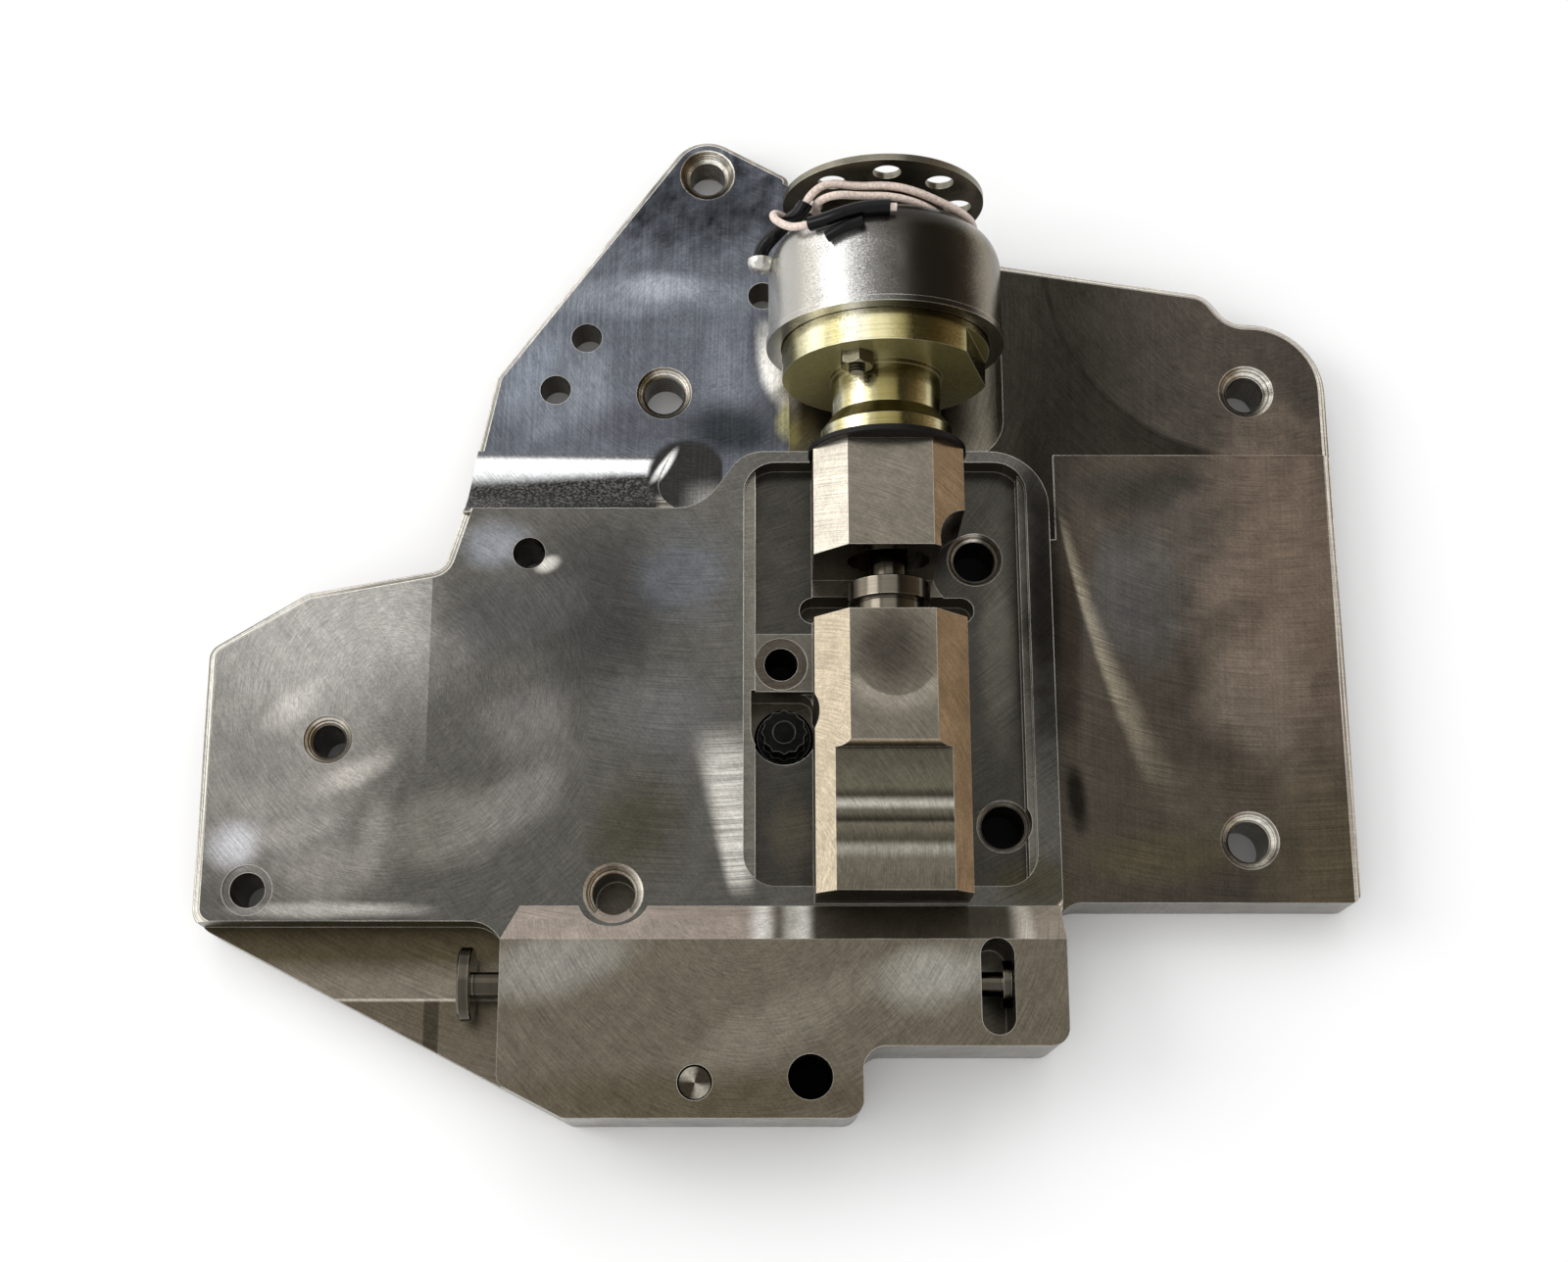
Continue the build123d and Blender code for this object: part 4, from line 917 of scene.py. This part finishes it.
# %% Plated can
def turned(tree, x, z, speckle, scatter):
    """Gives how far a point is turned round the can's axis, in degrees to the right, scattered."""
    angle = reckon(tree, "ARCTAN2", minus(tree, x, can_axis.x), minus(tree, z, can_axis.z))
    angle = minus(tree, times(tree, angle, 180 / pi), scatter / 2)
    return reckon(tree, "MULTIPLY_ADD", speckle, scatter, angle)


def plated_can():
    """Bright plating with painted light and shade round the can, with speckles and a fine bump."""
    tree, shader = start_finish("bright_plating", screen(178, 175, 168), 0.8, 0.26)
    where, x, y, z = place(tree)
    speckle = grain(tree, where, 4200, detail=1)
    cloud = grain(tree, where, 130)
    shoulder_turn = fade(tree, y, can_end - 0.013, can_end - 0.001, 2, 12)
    angle = reckon(tree, "ADD", turned(tree, x, z, speckle, 34), shoulder_turn)
    angle = reckon(tree, "MULTIPLY_ADD", cloud, 12, angle)
    shades = [(0.0, (110, 106, 98)), (0.10, (196, 194, 188)), (0.16, (232, 230, 225)),
              (0.24, (190, 188, 182)), (0.34, (156, 154, 148)), (0.40, (206, 204, 199)),
              (0.43, (240, 239, 236)), (0.455, (200, 199, 196)), (0.49, (108, 106, 103)),
              (0.55, (60, 57, 51)), (0.64, (42, 38, 31)), (0.71, (54, 49, 40)),
              (0.765, (128, 119, 101)), (0.82, (96, 89, 74)), (1.0, (70, 66, 56))]
    # Painted light and shade round the can
    tone = bands(tree, angle, -120, 120, shades, "LINEAR")
    color = shaded(tree, tone, vary(tree, speckle, 0.88, 1.12))
    # Edges painted lighter, for wear and as a painted glint
    color = mix(tree, times(tree, edges(tree, 0.0004), 0.6), color, screen(222, 218, 206))
    surface(tree, shader, color, vary(tree, cloud, 0.2, 0.3), speckle, 0.2)


plated_can()
print("the can's finish has", len(finishes["bright_plating"].node_tree.nodes), "nodes")

# %% [markdown]
# The solenoid's flange and neck are turned steel with a yellow passivated
# coat. It is an olive gold that is pale where it is bright, and as on the can
# its light, shade and reflections are painted round it. The front of the
# flange sees only dark things, so it is given a paler gold, painted darker to
# the right, and made less metallic. On collar and neck the painted bright
# stripe lies further left than on the flange.

# %% Yellow passivated flange
def passivated_flange():
    """Olive gold on turned steel, with rings along the axis and painted light and shade round it."""
    tree, shader = start_finish("yellow_passivate", screen(186, 178, 136), 1.0, 0.22)
    where, x, y, z = place(tree)
    ny = facing(tree)[1]
    rings = grain(tree, where, 1700, along_y, 0, 2)
    speckle = grain(tree, where, 1500)
    neck_turn = fade(tree, y, 0.0475, 0.0460, 0, 16)
    angle = reckon(tree, "ADD", turned(tree, x, z, speckle, 8), neck_turn)
    shades = [(0.0, (110, 102, 66)), (0.22, (150, 142, 98)), (0.31, (232, 226, 192)),
              (0.37, (176, 168, 122)), (0.42, (240, 236, 212)), (0.47, (196, 188, 146)),
              (0.53, (132, 122, 78)), (0.60, (112, 102, 62)), (0.67, (150, 140, 96)),
              (0.74, (206, 198, 156)), (0.82, (140, 132, 90)), (1.0, (96, 88, 56))]
    # Painted light, shade and reflection round the axis
    tone = bands(tree, angle, -120, 120, shades, "EASE")
    # The front, painted darker to the right
    front = mix(tree, fade(tree, x, 0.0, 0.042), screen(158, 150, 104), screen(104, 96, 58))
    in_front = fade(tree, ny, -0.75, -0.95)
    tone = mix(tree, in_front, tone, front)
    shade = times(tree, vary(tree, rings, 0.90, 1.10), vary(tree, speckle, 0.92, 1.08))
    # Edges painted lighter, for wear and as a painted glint
    edge = times(tree, edges(tree, 0.0003), 0.6)
    color = mix(tree, edge, shaded(tree, tone, shade), screen(238, 234, 210))
    tree.links.new(pick(tree, in_front, 1.0, 0.35), shader.inputs["Metallic"])
    surface(tree, shader, color, vary(tree, speckle, 0.18, 0.27), rings, 0.06)


passivated_flange()
print("the flange's finish has", len(finishes["yellow_passivate"].node_tree.nodes), "nodes")

# %% [markdown]
# The little stud has a thread. At this size a real thread would be many
# faces for a few pixels, so its turns are bumps in the finish, along Y, with
# painted shade in their grooves. The plug in the block was faced on a lathe,
# and its fine rings mirror the light in wedges, painted as a reflection. A
# cosine of the direction round its middle gives them.

# %% Threaded stud and faced plug
def threaded_steel(name, pitch):
    """Dark steel with thread turns along Y and painted shade in their grooves; the pitch is in
    millimetres.
    """
    roughness = 0.3
    tree, shader = start_finish(name, screen(90, 86, 74), 1.0, roughness)
    where, x, y, z = place(tree)
    turns = reckon(tree, "SINE", times(tree, y, 2 * pi * 1000 / pitch))
    turns = reckon(tree, "MULTIPLY_ADD", turns, 0.5, 0.5)
    # Painted shade in the thread's grooves
    tone = mix(tree, turns, screen(20, 18, 15), screen(92, 86, 70))
    grime = vary(tree, grain(tree, where, 900), 0.7, 1.2)
    surface(tree, shader, shaded(tree, tone, grime), roughness, turns, 0.6, 0.0003)


def faced_steel(name, middle):
    """Steel faced on a lathe round a middle in plan: painted reflection in bright wedges, and fine rings.
    """
    roughness = 0.26
    tree, shader = start_finish(name, screen(128, 122, 112), 1.0, roughness)
    where, x, y, z = place(tree)
    light_from, rings_per_metre = 2.2, 21000
    angle = reckon(tree, "ARCTAN2", minus(tree, y, middle[1]), minus(tree, x, middle[0]))
    wedges = reckon(tree, "ABSOLUTE", reckon(tree, "COSINE", minus(tree, angle, light_from)))
    far = away(tree, where, (middle[0] * 1000, middle[1] * 1000))
    rings = reckon(tree, "SINE", times(tree, far, rings_per_metre))
    rings = reckon(tree, "MULTIPLY_ADD", rings, 0.5, 0.5)
    speckle = grain(tree, where, 1500, detail=2)
    # The bright wedges are a painted reflection
    tone = mix(tree, fade(tree, wedges, 0.5, 1.2), screen(58, 52, 43), screen(190, 183, 168))
    shade = times(tree, fade(tree, rings, 0, 1, 0.88, 1.06), vary(tree, speckle, 0.8, 1.2))
    surface(tree, shader, shaded(tree, tone, shade), roughness, rings, 0.08)


threaded_steel("stud_thread", 0.7)
plug_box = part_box("bore_plug")
plug_middle = ((plug_box[0][0] + plug_box[1][0]) / 2, (plug_box[0][1] + plug_box[1][1]) / 2)
faced_steel("faced_plug", plug_middle)
print("the plug's middle is at", plug_middle)

# %% [markdown]
# The seal washer, the sleeves, the wires, the bobbin and the winding aren't
# bare metal. Their grain is coarser than that of the steels, and rubber and
# sleeving are given a weak gloss, since a strong one would make black look
# grey. Only the winding is mostly metallic, as enamelled copper looks.

# %% Rubber, sleeves, wires and coil
stuffs = [
    ("black_rubber", (12, 11, 10), 0.5, 0.3, 900, 0.2, 0.2, 0.0),
    ("black_sleeving", (9, 9, 9), 0.22, 0.3, 500, 0.15, 0.16, 0.0),
    ("wire_insulation", (216, 198, 186), 0.5, 0.16, 1600, 0.3, 0.4, 0.0),
    ("bobbin_plastic", (40, 39, 38), 0.45, 0.2, 800, 0.1, 0.5, 0.0),
    ("copper_winding", (184, 112, 70), 0.35, 0.2, 1500, 0.2, 0.5, 0.9),
]


def plain_stuff(name, shade_on_screen, roughness, spread, grain_size, bump, gloss, metallic):
    """A finish without bare metal: a colour with speckles and a fine bump."""
    color = screen(*shade_on_screen)
    tree, shader = start_finish(name, color, metallic, roughness)
    shader.inputs["Specular IOR Level"].default_value = gloss
    fine = grain(tree, place(tree)[0], grain_size, detail=4)
    shade = vary(tree, fine, 1 - spread, 1 + spread, 0.15)
    own_roughness = vary(tree, fine, roughness * 0.85, roughness * 1.15)
    surface(tree, shader, shaded(tree, color, shade), own_roughness, fine, bump)


for looks in stuffs:
    plain_stuff(*looks)
print(len(finishes), "finishes in all")

# %% [markdown]
# The record says which finish each node has. The CAD node keeps its mesh and
# only its material changes. Six steel pieces get their own variant.

# %% Put the finishes on the pieces
special = {
    "bore_plug": "faced_plug",
    "push_rod": "turned_steel",
    "valve_spool": "valve_steel",
    "plunger_stem": "turned_steel",
    "flange_stud": "stud_thread",
    "flange_nut": "nut_steel",
}


def dress(piece, name):
    """Gives a piece one finish in place of all that it has."""
    piece.data.materials.clear()
    piece.data.materials.append(finishes[name])


subparts = frame["record"]["subparts"]
for part in subparts:
    dress(frame["nodes"][part["node"]], special.get(part["node"], part["material_slot"]))
for piece, node_name, slot_name in lead_pieces:
    dress(piece, slot_name)
print(len(subparts), "nodes have their finish")

# %% [markdown]
# The plate lies on a white table in a white room with soft light. Through
# its holes the table shows, but four holes of the real plate look into the
# dark, so two black pads, which paint that shade, lie on the table under
# them, hidden by the plate.

# %% Floor, pads and world
def add_sheet(name, centre, size, color):
    """Adds a flat piece of the stage with one colour."""
    bpy.ops.mesh.primitive_plane_add(size=1, location=centre)
    flat = bpy.context.object
    flat.name = name
    flat.scale = (*size, 1)
    start_finish(name, color, 0.0, 0.9)
    dress(flat, name)
    bpy.ops.object.select_all(action="DESELECT")


white_table = (0.93, 0.93, 0.93, 1)
dark = (0.003, 0.003, 0.003, 1)
add_sheet("floor", (0, 0, -0.0002), (6, 6), white_table)
# Black pads that paint the shade seen through four holes
add_sheet("shade_pad", (0.0265, -0.041, -0.0001), (0.063, 0.118), dark)
add_sheet("small_shade_pad", (0.005, -0.112, -0.0001), (0.018, 0.014), dark)

world = bpy.data.worlds.new("white_room")
world.use_nodes = True
world.node_tree.nodes["Background"].inputs["Color"].default_value = (1, 1, 1, 1)
world.node_tree.nodes["Background"].inputs["Strength"].default_value = 0.9
bpy.context.scene.world = world
bpy.context.scene.view_settings.view_transform = "Standard"
print("floor, pads and world are set")

# %% [markdown]
# Two soft square lamps add the little direction that a studio has: one from
# the left, which lights the facets that face it, and a large one from above
# and behind. They are weak, so that colours stay about as they are written.

# %% Lamps
def add_lamp(name, location, size, power):
    """Adds a soft square lamp that faces the plate."""
    data = bpy.data.lights.new(name, "AREA")
    data.shape = "SQUARE"
    data.size = size
    data.energy = power
    lamp = bpy.data.objects.new(name, data)
    lamp.location = location
    lamp.rotation_euler = (-Vector(location)).to_track_quat("-Z", "Y").to_euler()
    collection.objects.link(lamp)


add_lamp("left_lamp", (-0.72, 0.15, 0.62), 0.5, 3.2)
add_lamp("top_lamp", (-0.1, 0.9, 1.3), 1.2, 3)
print("two lamps light the plate")

# %% [markdown]
# Metal shows what stands round it, and an all white room makes it look like
# paper. So two cards stand outside the picture: a bright one low on the
# left, and a large brown one on the right. They show only in reflections.

# %% Cards that only show in reflections
def add_card(name, centre, size, lean, foot, top):
    """Adds an upright card that faces the plate, lit from its foot to its top by two colours."""
    bpy.ops.mesh.primitive_plane_add(size=1, location=centre, rotation=(0, radians(lean), 0))
    card = bpy.context.object
    card.name = name
    card.scale = (*size, 1)
    card.visible_camera = False
    card.visible_diffuse = False
    card.visible_shadow = False
    finish = bpy.data.materials.new(name)
    finish.use_nodes = True
    tree = finish.node_tree
    tree.nodes.clear()
    glow = tree.nodes.new("ShaderNodeEmission")
    output = tree.nodes.new("ShaderNodeOutputMaterial")
    x = place(tree)[1]
    tree.links.new(mix(tree, fade(tree, x, -0.5, 0.5), foot, top), glow.inputs["Color"])
    tree.links.new(glow.outputs[0], output.inputs[0])
    card.data.materials.append(finish)
    bpy.ops.object.select_all(action="DESELECT")


brown = (0.40, 0.32, 0.23, 1)
dim = (0.08, 0.075, 0.07, 1)
bright = (1.9, 1.85, 1.75, 1)
add_card("right_card", (0.85, 0.1, 0.62), (1.45, 2.2), -120, brown, dim)
add_card("left_card", (-0.9, 0.0, 0.16), (0.36, 1.6), -90, bright, bright)
print("two cards stand beside the plate")
